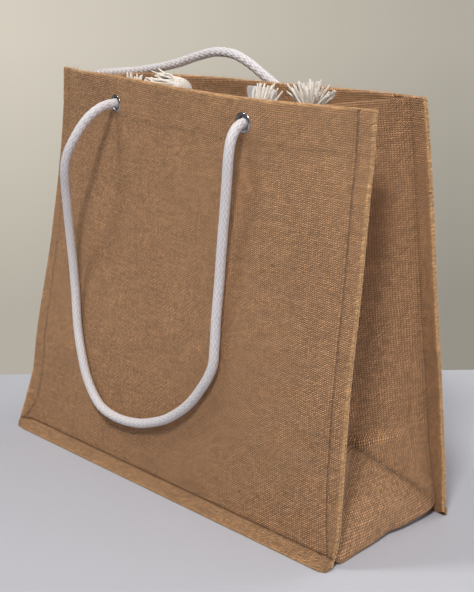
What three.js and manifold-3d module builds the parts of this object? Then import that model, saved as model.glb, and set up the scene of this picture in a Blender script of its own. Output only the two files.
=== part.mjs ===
// Jute tote bag with two braided rope handles, standing half open on a flat surface.
// Millimetres, +Z up, front panel towards -Y, origin on the surface under the middle of the bag.

import * as THREE from 'three';
import { mergeVertices } from 'three/addons/utils/BufferGeometryUtils.js';
import Module from 'manifold-3d';

const wasm = await Module();
wasm.setup();

// Driving dimensions of the cloth
const bagWidth = 400;
const bagHeight = 335;
const clothThickness = 1.6;
const pieceGap = 0.45;
const finWidth = 13;
const hemDepth = 35;
const hemEndInset = 32;
const hemRamp = 8;

// Driving dimensions of the folded gusset
const gussetHalfWidth = 68;
const foldHalfGap = 2.6;
const foldNose = 1.6;
const apexHeight = 77;
const apexInset = 29;
const apexDrop = 10;
const foldDropAtMouth = 7;
const baseBulge = 5.5;
const baseClearance = 1.3;
const creaseStart = 4;
const cornerEase = 0.3;

// Driving dimensions of the eyelets and the rope
const eyeletSpacing = 172;
const eyeletBelowTop = 20;
const eyeletInnerRadius = 5.2;
const eyeletBarrelRadius = 5.8;
const eyeletFlangeRadius = 7.8;
const eyeletFlangeRise = 1.1;
const eyeletPatch = 24;
const eyelets = [
  { name: 'eyelet_front_left', panel: 'front', side: -1, along: 2.6, up: -2.2 },
  { name: 'eyelet_front_right', panel: 'front', side: 1, along: 0, up: 1.9 },
  { name: 'eyelet_rear_left', panel: 'rear', side: -1, along: 0, up: 0 },
  { name: 'eyelet_rear_right', panel: 'rear', side: 1, along: 0, up: 0 },
];
const ropeDiameter = 8;
const ropeSides = 8;
const ropeSteps = 74;

// Routes of the two handles, from beside the knot inside the left eyelet, out and round to the right one
const frontRoute = [
  [-82.5, -25.3, 315], [-83.2, -29.4, 315], [-84.9, -38, 314.4], [-87, -47.5, 311], [-90.6, -57, 303],
  [-96.6, -64, 290], [-105, -67.6, 274], [-111.5, -66.6, 258], [-119.8, -60.3, 234], [-126.2, -54.2, 203.5],
  [-128.6, -50.6, 174], [-127.4, -50.2, 145.5], [-120.8, -54.2, 114.5], [-110, -58.4, 88.5],
  [-98.7, -60.9, 68.8], [-80.4, -63.1, 53], [-55, -64.4, 48.8], [-27, -64.7, 51.8], [-8.6, -64.6, 57.3],
  [15, -64.6, 68], [40.4, -64.1, 86.7], [59, -63.3, 108.6], [68.8, -62.4, 126], [70.8, -61.9, 141],
  [71.3, -60, 166], [73.2, -58, 194.5], [76.6, -58, 223], [80.2, -58.2, 248], [84.4, -59.2, 274],
  [87.4, -60, 293], [88.3, -58, 305.5], [87.6, -51.6, 313.6], [86.2, -42.6, 316.3], [85.8, -37.9, 316.4],
];
const rearRoute = [
  [-46.2, 4, 318.1], [-55, 3.6, 313.8], [-67, 3.8, 312.4], [-78, 6.6, 312.8], [-84.2, 12.4, 314],
  [-86, 21, 315.2], [-86.3, 33, 317.1], [-86.6, 41, 315.6], [-87.2, 47.5, 310.4], [-88, 51, 302],
  [-89.5, 52, 290], [-94, 52.6, 260], [-102, 55, 228], [-112, 58, 208], [-127, 60, 194.5],
  [-146, 60.5, 190], [-166, 58.5, 196], [-183, 54, 212], [-200, 46, 247],
  [-206, 37.5, 285], [-204.5, 32.5, 305], [-198, 28.4, 319], [-184, 26.2, 327.4], [-165, 25.6, 330.4],
  [-130, 26.2, 334.2], [-98, 27, 339.2], [-70, 28, 345.2], [-48, 29.2, 351.6], [-26, 30.6, 356.6],
  [-6, 32.6, 356], [9, 35.4, 350], [20.5, 38.8, 342], [33, 43.8, 332.2], [43.5, 47.4, 324],
  [57, 49.6, 318.6], [72, 48.8, 317.2], [83, 42.8, 318], [86, 31.5, 316.8], [87.2, 26.4, 316.1],
  [92.2, 18.7, 316.5],
];

// Knots at the rope ends: place, the way the rope comes in, the way the frayed end points, the way it fans
// out, and how far it leans in radians that way and square to it
const knots = [
  {
    name: 'knot_front_left', at: [-80.6, -15, 315], from: [-0.2, -1, 0], fray: [0.3, 0.15, 1],
    across: [1, 0, 0], fan: [0.5, 0.3], length: 24, strands: 14,
  },
  {
    name: 'knot_front_right', at: [85.5, -28, 316.4], from: [0, -1, 0], fray: [-0.05, 0.5, 1],
    across: [1, 0, 0], fan: [0.34, 0.3], length: 31, strands: 24,
  },
  {
    name: 'knot_rear_left', at: [-40, 4.2, 327], from: [-0.6, 0, -0.8], fray: [-1, 0.08, 0.1],
    across: [0, 0, 1], fan: [0.12, 0.12], length: 44, strands: 24,
  },
  {
    name: 'knot_rear_right', at: [101.4, 12.2, 318.4], from: [-0.75, 0.6, 0], fray: [0.05, 0, 1],
    across: [1, 0, 0], fan: [1.05, 0.35], length: 27, strands: 30,
  },
];
const knotRingRadius = 6.4;
const strandRadius = 1;
const neckRadius = 4;
const strandUnevenness = 0.22;
const strandDroop = 0.08;

// Lower edge of the gusset's sides, from the front panel at -1 to the back one at 1: how far it stands out
// beyond the seams and its height. The last column is how much of the seam's own height the base keeps.
const baseEdge = [
  { share: -1, out: 0, height: 6.7, seamShare: 1 },
  { share: -0.9, out: 4.2, height: 1.5, seamShare: 0.3 },
  { share: -0.75, out: 3.5, height: 1.5, seamShare: 0 },
  { share: -0.5, out: 2.5, height: 2.2, seamShare: 0 },
  { share: -0.25, out: 1.5, height: 2.7, seamShare: 0 },
  { share: 0, out: -0.6, height: 3.3, seamShare: 0 },
  { share: 0.05, out: -1.3, height: 3.7, seamShare: 0 },
  { share: 0.25, out: 1, height: 4, seamShare: 0 },
  { share: 0.5, out: 1.8, height: 4.8, seamShare: 0.05 },
  { share: 0.75, out: 1.8, height: 5.8, seamShare: 0.35 },
  { share: 0.9, out: 1, height: 7.4, seamShare: 0.75 },
  { share: 1, out: 0, height: 10, seamShare: 1 },
];

// Tag sewn inside the back panel's hem
const label = { left: 22.5, right: 51.5, top: 331.8, bottom: 310, thickness: 0.8 };

const halfWidth = bagWidth / 2;
const rootAcross = halfWidth - finWidth;
const hemEdge = halfWidth - hemEndInset;

// Near the base the roots of the side fins spread outwards by this much.
const finSpread = { height: 70, atRoot: 7 };

const eyeletHeight = bagHeight - eyeletBelowTop;
const eyeletAcross = eyeletSpacing / 2;

// Heights at which both panels and the gusset have a row of points. The first three rows are the fin's
// tip, middle and root, whose heights come from each panel's own fin. The last rows are the hem's lower
// edge, the flat patch round the eyelets and the top edge.
const finRows = 3;
const baseLine = 8;
const creaseRows = [0.25, 0.5, 0.75, 1].map((share) => THREE.MathUtils.lerp(baseLine, apexHeight, share));
const rowHeights = [0, 0, 0, ...creaseRows, 104, 132, 160, 188, 214, 240, 262, 284,
  bagHeight - hemDepth - 0.2, bagHeight - hemDepth + 0.2,
  eyeletHeight - eyeletPatch / 2, eyeletHeight + eyeletPatch / 2, bagHeight];
const hemRow = rowHeights.length - 4;
const eyeletRow = rowHeights.length - 3;

// Columns of points across a panel, from the left fin's tip to the right fin's.
const halfColumns = [0, 25, 50, eyeletAcross - eyeletPatch / 2, eyeletAcross + eyeletPatch / 2, 122, 146,
  hemEdge, hemEdge + hemRamp, rootAcross, halfWidth - finWidth / 2, halfWidth];
const columns = [...halfColumns.slice(1).reverse().map((x) => -x), ...halfColumns];
const lastColumn = columns.length - 1;

// Each panel's upright section at its left and right edges: distance from the bag's middle plane at each
// height. Its mouth table gives, across the width, how far the top edge bows out and how it rises. Each
// side fin's corner insets and the shares of its outward turn are for the bottom fin's rows, tip first. The
// bottom fin's flare is in degrees and drops towards the corner.
const frontPanelShape = {
  outward: -1,
  rootHeight: 6.7,
  finFlare: 59,
  leftFin: {
    tipSpread: 4, cornerInset: [0.5, -2, -1.5], flareDrop: 4,
    turnDepth: 7, turnHeight: 50, turnShares: [0, 0.35, 1],
  },
  rightFin: {
    tipSpread: 0.5, cornerInset: [2.5, 2, 3.8], flareDrop: 8,
    turnDepth: 0, turnHeight: 50, turnShares: [0, 0, 0],
  },
  section: [
    { height: 6.7, left: -61.0, right: -61.3 },
    { height: 27, left: -57.6, right: -59.6 },
    { height: 59, left: -50.6, right: -57.0 },
    { height: 91, left: -44.8, right: -54.4 },
    { height: 132, left: -34.6, right: -51.0 },
    { height: 166, left: -25.8, right: -46.7 },
    { height: 201, left: -18.2, right: -41.7 },
    { height: 235, left: -11.4, right: -37.6 },
    { height: 270, left: -5.4, right: -33.7 },
    { height: 300, left: -1.6, right: -29.9 },
    { height: 335, left: 1.0, right: -27.2 },
  ],
  bowDepth: 28,
  mouth: [
    { across: -200, bow: 0, rise: 0 },
    { across: -150, bow: 0.42, rise: 0.3 },
    { across: -100, bow: 0.74, rise: 2.2 },
    { across: -50, bow: 0.93, rise: 2 },
    { across: 0, bow: 1, rise: 1 },
    { across: 50, bow: 0.97, rise: 0 },
    { across: 100, bow: 0.8, rise: -0.8 },
    { across: 150, bow: 0.45, rise: -0.8 },
    { across: 200, bow: 0, rise: -1 },
  ],
};
const backPanelShape = {
  outward: 1,
  rootHeight: 10,
  finFlare: 14,
  leftFin: {
    tipSpread: 3, cornerInset: [1, 0, 0], flareDrop: 0,
    turnDepth: 0, turnHeight: 50, turnShares: [0, 0, 0],
  },
  rightFin: {
    tipSpread: 3, cornerInset: [1.2, 0, 0], flareDrop: 0,
    turnDepth: -4.5, turnHeight: 45, turnShares: [1, 1, 1],
  },
  section: [
    { height: 10, left: 67.7, right: 69.3 },
    { height: 58, left: 61.5, right: 63.8 },
    { height: 91, left: 56.6, right: 60.2 },
    { height: 124, left: 51.2, right: 56.1 },
    { height: 184, left: 41.5, right: 47.7 },
    { height: 220, left: 35.6, right: 43.4 },
    { height: 259, left: 29.0, right: 38.8 },
    { height: 300, left: 22.0, right: 33.1 },
    { height: 335, left: 16.5, right: 27.4 },
  ],
  bowDepth: 5,
  mouth: [
    { across: -200, bow: 0, rise: -9 },
    { across: -160, bow: 0, rise: -6.2 },
    { across: -120, bow: -0.2, rise: -1.8 },
    { across: -100, bow: -0.2, rise: 0 },
    { across: -50, bow: -0.3, rise: 1.5 },
    { across: 0, bow: -0.2, rise: 2.5 },
    { across: 50, bow: 0.5, rise: 2 },
    { across: 100, bow: 1, rise: 2 },
    { across: 150, bow: 0.9, rise: 2.5 },
    { across: 200, bow: 0, rise: 2.5 },
  ],
};

const clothMaterial = new THREE.MeshStandardMaterial({ color: 0xa67c52, roughness: 0.9, metalness: 0 });
const ropeMaterial = new THREE.MeshStandardMaterial({ color: 0xe9e4de, roughness: 0.85, metalness: 0 });
const metalMaterial = new THREE.MeshStandardMaterial({ color: 0xc9ccd1, roughness: 0.25, metalness: 1 });
const labelMaterial = new THREE.MeshStandardMaterial({ color: 0xe8e8f0, roughness: 0.7, metalness: 0 });

// Value of a table's column at a place between its rows, on a smooth curve through them.
function fromTable(rows, keyName, valueName, key) {
  const last = rows.length - 1;
  const clamped = THREE.MathUtils.clamp(key, rows[0][keyName], rows[last][keyName]);
  let lower = 0;
  while (lower < last - 1 && rows[lower + 1][keyName] < clamped) {
    lower += 1;
  }
  const slopeAt = (index) => {
    const before = rows[Math.max(index - 1, 0)];
    const after = rows[Math.min(index + 1, last)];
    return (after[valueName] - before[valueName]) / (after[keyName] - before[keyName]);
  };
  const start = rows[lower];
  const end = rows[lower + 1];
  const span = end[keyName] - start[keyName];
  const t = (clamped - start[keyName]) / span;
  const startShare = 2 * t ** 3 - 3 * t ** 2 + 1;
  const endShare = -2 * t ** 3 + 3 * t ** 2;
  const startTurn = (t ** 3 - 2 * t ** 2 + t) * span * slopeAt(lower);
  const endTurn = (t ** 3 - t ** 2) * span * slopeAt(lower + 1);
  return startShare * start[valueName] + endShare * end[valueName] + startTurn + endTurn;
}

// Middle of a panel's cloth at a distance across the bag and a height, above the fin.
function panelPoint(shape, across, height) {
  const left = fromTable(shape.section, 'height', 'left', height);
  const right = fromTable(shape.section, 'height', 'right', height);
  const share = (across + halfWidth) / bagWidth;
  const heightShare = (height - shape.rootHeight) / (bagHeight - shape.rootHeight);
  const bow = shape.bowDepth * fromTable(shape.mouth, 'across', 'bow', across) * heightShare;
  const rise = fromTable(shape.mouth, 'across', 'rise', across) * heightShare;
  const y = THREE.MathUtils.lerp(left, right, share) + shape.outward * bow;
  return new THREE.Vector3(across + edgeSpread(shape, across, height), y, height + rise);
}

function sideFin(shape, across) {
  return across < 0 ? shape.leftFin : shape.rightFin;
}

// How far the side fins spread outwards near the base
function edgeSpread(shape, across, height) {
  const lowShare = Math.max(1 - height / finSpread.height, 0) ** 2;
  const beside = THREE.MathUtils.clamp((Math.abs(across) - hemEdge) / (rootAcross - hemEdge), 0, 1);
  const onFin = THREE.MathUtils.clamp((Math.abs(across) - rootAcross) / finWidth, 0, 1);
  const spread = THREE.MathUtils.lerp(finSpread.atRoot, sideFin(shape, across).tipSpread, onFin) * beside;
  return Math.sign(across) * spread * lowShare;
}

// Grid of points on the middle of a panel's cloth, rows from the fin's tip upwards.
function panelGrid(shape) {
  return rowHeights.map((height, row) => columns.map((across) => {
    const onFin = THREE.MathUtils.clamp((Math.abs(across) - rootAcross) / finWidth, 0, 1);
    const point = panelPoint(shape, across, Math.max(height, shape.rootHeight));
    const fin = sideFin(shape, across);
    const turnShare = Math.max(1 - point.z / fin.turnHeight, 0) * (row < finRows ? fin.turnShares[row] : 1);
    point.y += shape.outward * fin.turnDepth * turnShare * onFin;
    if (row < finRows) {
      const flare = THREE.MathUtils.degToRad(shape.finFlare - fin.flareDrop * onFin);
      const drop = shape.rootHeight * (finRows - 1 - row) / (finRows - 1);
      point.y += shape.outward * drop * Math.tan(flare);
      point.z -= drop;
      point.x -= Math.sign(across) * fin.cornerInset[row] * onFin;
    }
    return point;
  }));
}

// Offset of each point of a grid for which the facets round it all move by one millimetre.
function gridOffsets(grid) {
  const rows = grid.length;
  const width = grid[0].length;
  const facetNormal = (row, column) => {
    if (row < 0 || column < 0 || row >= rows - 1 || column >= width - 1) {
      return null;
    }
    const rising = grid[row + 1][column + 1].clone().sub(grid[row][column]);
    const falling = grid[row + 1][column].clone().sub(grid[row][column + 1]);
    return rising.cross(falling).normalize();
  };
  return grid.map((line, row) => line.map((point, column) => {
    const around = [[row - 1, column - 1], [row - 1, column], [row, column - 1], [row, column]]
      .map(([r, c]) => facetNormal(r, c))
      .filter((normal) => normal);
    const sum = around.reduce((total, normal) => total.add(normal), new THREE.Vector3()).normalize();
    const spread = around.reduce((total, normal) => total + sum.dot(normal), 0) / around.length;
    return sum.divideScalar(Math.max(spread, 0.5));
  }));
}

// Point at a fractional row and column of a grid, moved along the grid's offsets.
function gridPoint(grid, offsets, row, column, distance) {
  const r = Math.min(Math.floor(row), grid.length - 2);
  const c = Math.min(Math.floor(column), grid[0].length - 2);
  const blend = (field) => field[r][c].clone().lerp(field[r][c + 1], column - c)
    .lerp(field[r + 1][c].clone().lerp(field[r + 1][c + 1], column - c), row - r);
  return blend(grid).addScaledVector(blend(offsets), distance);
}

function signedVolume(positions, triangles) {
  let volume = 0;
  for (const [a, b, c] of triangles) {
    volume += positions[a].clone().cross(positions[b]).dot(positions[c]) / 6;
  }
  return volume;
}

function solidGeometry(positions, triangles) {
  const outwards = signedVolume(positions, triangles) > 0;
  const index = triangles.flatMap(([a, b, c]) => (outwards ? [a, b, c] : [a, c, b]));
  const coordinates = positions.flatMap((point) => point.toArray());
  const geometry = new THREE.BufferGeometry();
  geometry.setAttribute('position', new THREE.Float32BufferAttribute(coordinates, 3));
  geometry.setIndex(index);
  geometry.computeVertexNormals();
  return geometry;
}

// Closed sheet between two grids of points, its quads split by the diagonal that risingDiagonal chooses.
function sheetBetween(faceA, faceB, risingDiagonal = () => true) {
  const rows = faceA.length;
  const width = faceA[0].length;
  const positions = [...faceA.flat(), ...faceB.flat()];
  const onA = (row, column) => row * width + column;
  const onB = (row, column) => rows * width + onA(row, column);
  const triangles = [];
  for (let row = 0; row < rows - 1; row += 1) {
    for (let column = 0; column < width - 1; column += 1) {
      const corners = [[row, column], [row, column + 1], [row + 1, column + 1], [row + 1, column]];
      const order = risingDiagonal(row, column) ? [0, 1, 2, 0, 2, 3] : [1, 2, 3, 1, 3, 0];
      const [a, b, c, d, e, f] = order.map((corner) => corners[corner]);
      for (const [p, q, r] of [[a, b, c], [d, e, f]]) {
        triangles.push([onA(...p), onA(...q), onA(...r)]);
        triangles.push([onB(...p), onB(...r), onB(...q)]);
      }
    }
  }
  const rim = [];
  for (let column = 0; column < width - 1; column += 1) {
    rim.push([0, column]);
  }
  for (let row = 0; row < rows - 1; row += 1) {
    rim.push([row, width - 1]);
  }
  for (let column = width - 1; column > 0; column -= 1) {
    rim.push([rows - 1, column]);
  }
  for (let row = rows - 1; row > 0; row -= 1) {
    rim.push([row, 0]);
  }
  rim.forEach((here, index) => {
    const next = rim[(index + 1) % rim.length];
    triangles.push([onA(...here), onB(...here), onB(...next)]);
    triangles.push([onA(...here), onB(...next), onA(...next)]);
  });
  return solidGeometry(positions, triangles);
}

// Slides a point along its fin until it lies on the surface that the bag stands on.
function onFloor(point, towards) {
  const step = towards.clone().sub(point);
  return point.clone().addScaledVector(step, -point.z / step.z);
}

function toManifold(geometry) {
  const bare = geometry.clone();
  bare.deleteAttribute('normal');
  bare.deleteAttribute('uv');
  const merged = mergeVertices(bare, 1e-4);
  return new wasm.Manifold(new wasm.Mesh({
    numProp: 3,
    vertProperties: new Float32Array(merged.attributes.position.array),
    triVerts: new Uint32Array(merged.index.array),
  }));
}

function fromManifold(solid) {
  const mesh = solid.getMesh();
  const geometry = new THREE.BufferGeometry();
  geometry.setAttribute('position', new THREE.BufferAttribute(mesh.vertProperties, 3));
  geometry.setIndex(new THREE.BufferAttribute(mesh.triVerts, 1));
  geometry.computeVertexNormals();
  return geometry;
}

function piece(name, geometry, material) {
  const mesh = new THREE.Mesh(geometry, material);
  mesh.name = name;
  return mesh;
}

// A panel's grid, with offsets that point out of the bag, and the faces of its cloth
function layPanel(shape) {
  const grid = panelGrid(shape);
  const offsets = gridOffsets(grid);
  if (offsets[finRows][1].y * shape.outward < 0) {
    offsets.flat().forEach((offset) => offset.negate());
  }
  const half = clothThickness / 2;
  const hemmed = (row, column) => row >= hemRow && Math.abs(columns[column]) <= hemEdge;
  const face = (distanceAt) => grid.map((line, row) => line.map((point, column) => (
    point.clone().addScaledVector(offsets[row][column], distanceAt(row, column)))));
  const outer = face(() => half);
  const inner = face((row, column) => (hemmed(row, column) ? -half - clothThickness : -half));
  for (const side of [outer, inner]) {
    side[0] = side[0].map((point, column) => onFloor(point, side[1][column]));
  }
  return { shape, grid, offsets, outer, inner };
}

// Place and outward direction of an eyelet, near the middle of its flat patch of a panel
function eyeletSeat(panel, { side, along, up }) {
  const column = columns.findIndex((across) => across > side * eyeletAcross);
  const corners = [[0, 0], [0, 1], [1, 1], [1, 0]].map(([rowStep, columnStep]) => (
    panel.grid[eyeletRow + rowStep][column - 1 + columnStep]));
  const centre = corners.reduce((sum, corner) => sum.add(corner), new THREE.Vector3()).divideScalar(4);
  const out = corners[2].clone().sub(corners[0]).cross(corners[3].clone().sub(corners[1])).normalize();
  if (out.y * panel.shape.outward < 0) {
    out.negate();
  }
  centre.addScaledVector(corners[3].clone().sub(corners[0]).normalize(), up);
  centre.addScaledVector(corners[1].clone().sub(corners[0]).normalize(), along);
  return { centre, out };
}

function placeAlong(geometry, centre, direction) {
  const turn = new THREE.Quaternion().setFromUnitVectors(new THREE.Vector3(0, 1, 0), direction);
  return geometry.applyQuaternion(turn).translate(centre.x, centre.y, centre.z);
}

function panelSolid(panel, panelEyelets) {
  const risingOnRight = (row, column) => columns[column] >= 0;
  const sheet = toManifold(sheetBetween(panel.outer, panel.inner, risingOnRight));
  const holes = panelEyelets.map((eyelet) => {
    const seat = eyeletSeat(panel, eyelet);
    const radius = eyeletBarrelRadius + pieceGap;
    const drill = new THREE.CylinderGeometry(radius, radius, 30, 16);
    return toManifold(placeAlong(drill, seat.centre, seat.out));
  });
  return fromManifold(holes.reduce((solid, hole) => solid.subtract(hole), sheet));
}

// Gusset: stations down the left side, along the base and up the right side
function gussetStations() {
  const top = rowHeights.length - 1;
  const rootRow = finRows - 1;
  const stations = [];
  const sideColumns = { left: [0, 1, 2], right: [lastColumn, lastColumn - 1, lastColumn - 2] };
  const sideStation = (side, row) => ({
    side,
    height: rowHeights[row],
    marks: sideColumns[side].map((column) => [row, column]),
  });
  const cornerMarks = (side, step) => {
    const tips = [[rootRow, 0], [1, 0], [0, 0], [0, 1]];
    const middles = [[rootRow, 1], [1.5, 1], [1, 1], [1, 1.5]];
    const roots = [[rootRow + 0.15, 2], [rootRow, 2.06], [rootRow, 2.15], [rootRow, 2.24]];
    const mirrored = ([row, column]) => [row, side === 'left' ? column : lastColumn - column];
    return [tips[step], middles[step], roots[step]].map(mirrored);
  };
  for (let row = top; row >= finRows; row -= 1) {
    stations.push(sideStation('left', row));
  }
  const bends = [1, 1, 0.75, 0.4];
  bends.forEach((share, step) => {
    stations.push({ side: 'left', edgeShare: share, marks: cornerMarks('left', step) });
  });
  for (const column of [2.4, 4, 6, 8, 11, 14, 16, 18, lastColumn - 2.4]) {
    stations.push({ side: 'base', edgeShare: 0, marks: [[0, column], [1, column], [rootRow, column]] });
  }
  [...bends.keys()].reverse().forEach((step) => {
    stations.push({ side: 'right', edgeShare: bends[step], marks: cornerMarks('right', step) });
  });
  for (let row = finRows; row <= top; row += 1) {
    stations.push(sideStation('right', row));
  }
  return stations;
}

const crossShares = [-0.9, -0.75, -0.5, -0.25, -0.05, 0, 0.05, 0.25, 0.5, 0.75, 0.9];

// Points across a side of the gusset, from just inside the front root to just inside the rear root
function sideCross(side, height, frontRoot, rearRoot, corners) {
  const sign = side === 'left' ? -1 : 1;
  const gap = rearRoot.y - frontRoot.y;
  const mid = frontRoot.clone().lerp(rearRoot, 0.5);
  const apexShare = (height - corners.height) / (apexHeight - corners.height);
  const depth = Math.sqrt(Math.max(gussetHalfWidth ** 2 - (gap / 2) ** 2, apexInset ** 2));
  const bulge = baseBulge * Math.max(1 - apexShare, 0);
  const dropShare = (height - apexHeight) / (bagHeight - apexHeight);
  const fold = new THREE.Vector3(
    sign * (rootAcross - depth),
    mid.y,
    mid.z - THREE.MathUtils.lerp(apexDrop, foldDropAtMouth, Math.max(dropShare, 0)),
  );
  let frontCrease = fold.clone();
  let rearCrease = fold.clone();
  if (apexShare < 1) {
    frontCrease = corners.front.clone().lerp(corners.apex, apexShare);
    rearCrease = corners.rear.clone().lerp(corners.apex, apexShare);
  }
  const creaseShare = Math.max(1 - apexShare, 0.05);
  if (apexShare >= 1) {
    frontCrease.y -= foldHalfGap;
    rearCrease.y += foldHalfGap;
  }
  return crossShares.map((share) => {
    if (share < -creaseShare - 1e-6) {
      return frontRoot.clone().lerp(frontCrease, (share + 1) / (1 - creaseShare));
    }
    if (share > creaseShare + 1e-6) {
      return rearRoot.clone().lerp(rearCrease, (1 - share) / (1 - creaseShare));
    }
    const point = frontCrease.clone().lerp(rearCrease, (share / creaseShare + 1) / 2);
    point.x += sign * bulge * (1 - (share / creaseShare) ** 2);
    if (apexShare >= 1) {
      point.x -= sign * foldNose * (1 - Math.abs(share) / creaseShare);
    }
    return point;
  });
}

// Points across the base, which sags to the surface it stands on, or across the bend up to a side
function baseCross(frontRoot, rearRoot, edgeShare) {
  return crossShares.map((share) => {
    const point = frontRoot.clone().lerp(rearRoot, (share + 1) / 2);
    const seamShare = fromTable(baseEdge, 'share', 'seamShare', share);
    const baseHeight = THREE.MathUtils.lerp(baseClearance, point.z, seamShare);
    point.z = THREE.MathUtils.lerp(baseHeight, fromTable(baseEdge, 'share', 'height', share), edgeShare);
    point.x += Math.sign(point.x) * fromTable(baseEdge, 'share', 'out', share) * edgeShare;
    return point;
  });
}

function gussetSolid(front, rear) {
  const distance = -(clothThickness + pieceGap);
  const at = (panel, [row, column], ease = 0) => (
    gridPoint(panel.grid, panel.offsets, row, column, distance - ease));
  const cornersOf = (side) => {
    const column = side === 'left' ? 2 : lastColumn - 2;
    const sign = side === 'left' ? -1 : 1;
    const frontCorner = at(front, [finRows - 1, column]);
    const rearCorner = at(rear, [finRows - 1, column]);
    const frontAtApex = panelPoint(front.shape, sign * rootAcross, apexHeight);
    const rearAtApex = panelPoint(rear.shape, sign * rootAcross, apexHeight);
    const apex = frontAtApex.lerp(rearAtApex, 0.5);
    apex.x = sign * (rootAcross - apexInset);
    apex.z = apexHeight - apexDrop;
    frontCorner.x += sign * creaseStart;
    rearCorner.x += sign * creaseStart;
    return { front: frontCorner, rear: rearCorner, apex, height: baseLine };
  };
  const corners = { left: cornersOf('left'), right: cornersOf('right') };
  const stations = gussetStations();
  const grid = stations.map((station) => {
    const ease = station.edgeShare ? cornerEase : 0;
    const [frontTip, frontMiddle, frontRoot] = station.marks.map((mark) => at(front, mark, ease));
    const [rearTip, rearMiddle, rearRoot] = station.marks.map((mark) => at(rear, mark, ease));
    const cross = station.height
      ? sideCross(station.side, station.height, frontRoot, rearRoot, corners[station.side])
      : baseCross(frontRoot, rearRoot, station.edgeShare);
    return [frontTip, frontMiddle, frontRoot, ...cross, rearRoot, rearMiddle, rearTip];
  });
  const offsets = gridOffsets(grid);
  const half = clothThickness / 2;
  const face = (side) => grid.map((line, row) => line.map((point, column) => (
    point.clone().addScaledVector(offsets[row][column], side * half))));
  const faces = [face(1), face(-1)];
  const width = grid[0].length;
  for (const side of faces) {
    stations.forEach((station, row) => {
      const tipsOnFloor = station.marks[0][0] === 0;
      if (tipsOnFloor) {
        side[row][0] = onFloor(side[row][0], side[row][1]);
        side[row][width - 1] = onFloor(side[row][width - 1], side[row][width - 2]);
      }
    });
  }
  const middleColumn = (width - 1) / 2;
  const risingDiagonal = (row, column) => {
    const frontHalf = column < middleColumn;
    const onLeft = row < stations.length / 2;
    const onFin = column < 2 || column > width - 4;
    return (frontHalf !== onLeft) !== onFin;
  };
  return sheetBetween(faces[0], faces[1], risingDiagonal);
}

// Eyelet and its washer, set as one: a domed ring outside, a barrel through the hem, a flat ring inside
function eyeletSolid(seat) {
  const outerFace = clothThickness / 2 + pieceGap;
  const innerFace = -(clothThickness * 1.5 + pieceGap);
  const profile = [
    [eyeletInnerRadius, innerFace - eyeletFlangeRise * 0.7],
    [eyeletFlangeRadius, innerFace - eyeletFlangeRise * 0.5],
    [eyeletFlangeRadius, innerFace],
    [eyeletBarrelRadius, innerFace],
    [eyeletBarrelRadius, outerFace],
    [eyeletFlangeRadius, outerFace],
    [eyeletFlangeRadius - 0.3, outerFace + eyeletFlangeRise * 0.55],
    [eyeletFlangeRadius - 1.5, outerFace + eyeletFlangeRise],
    [eyeletInnerRadius + 0.7, outerFace + eyeletFlangeRise * 0.8],
    [eyeletInnerRadius, outerFace],
    [eyeletInnerRadius, innerFace - eyeletFlangeRise * 0.7],
  ].map(([radius, along]) => new THREE.Vector2(radius, along));
  return placeAlong(new THREE.LatheGeometry(profile, 18), seat.centre, seat.out);
}

// Regular polygon, as the section of a rope or a strand
function sectionShape(sides, radius) {
  const section = new THREE.Shape();
  for (let side = 0; side < sides; side += 1) {
    const angle = 2 * Math.PI * side / sides;
    const corner = [Math.cos(angle) * radius, Math.sin(angle) * radius];
    if (side === 0) {
      section.moveTo(...corner);
    } else {
      section.lineTo(...corner);
    }
  }
  section.closePath();
  return section;
}

// Rope as a round tube along its route
function ropeSolid(route) {
  const section = sectionShape(ropeSides, ropeDiameter / 2);
  const extrudePath = new THREE.CatmullRomCurve3(route.map((point) => new THREE.Vector3(...point)));
  return new THREE.ExtrudeGeometry(section, { steps: ropeSteps, extrudePath });
}

// One frayed strand: a thin three-sided tube that starts inside the knot and droops sideways
function strandSolid(start, direction, length, droop) {
  const extrudePath = new THREE.CatmullRomCurve3([0, 0.5, 1].map((share) => (
    start.clone().addScaledVector(direction, length * share).addScaledVector(droop, length * share ** 2))));
  return toManifold(new THREE.ExtrudeGeometry(sectionShape(3, strandRadius), { steps: 3, extrudePath }));
}

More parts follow.
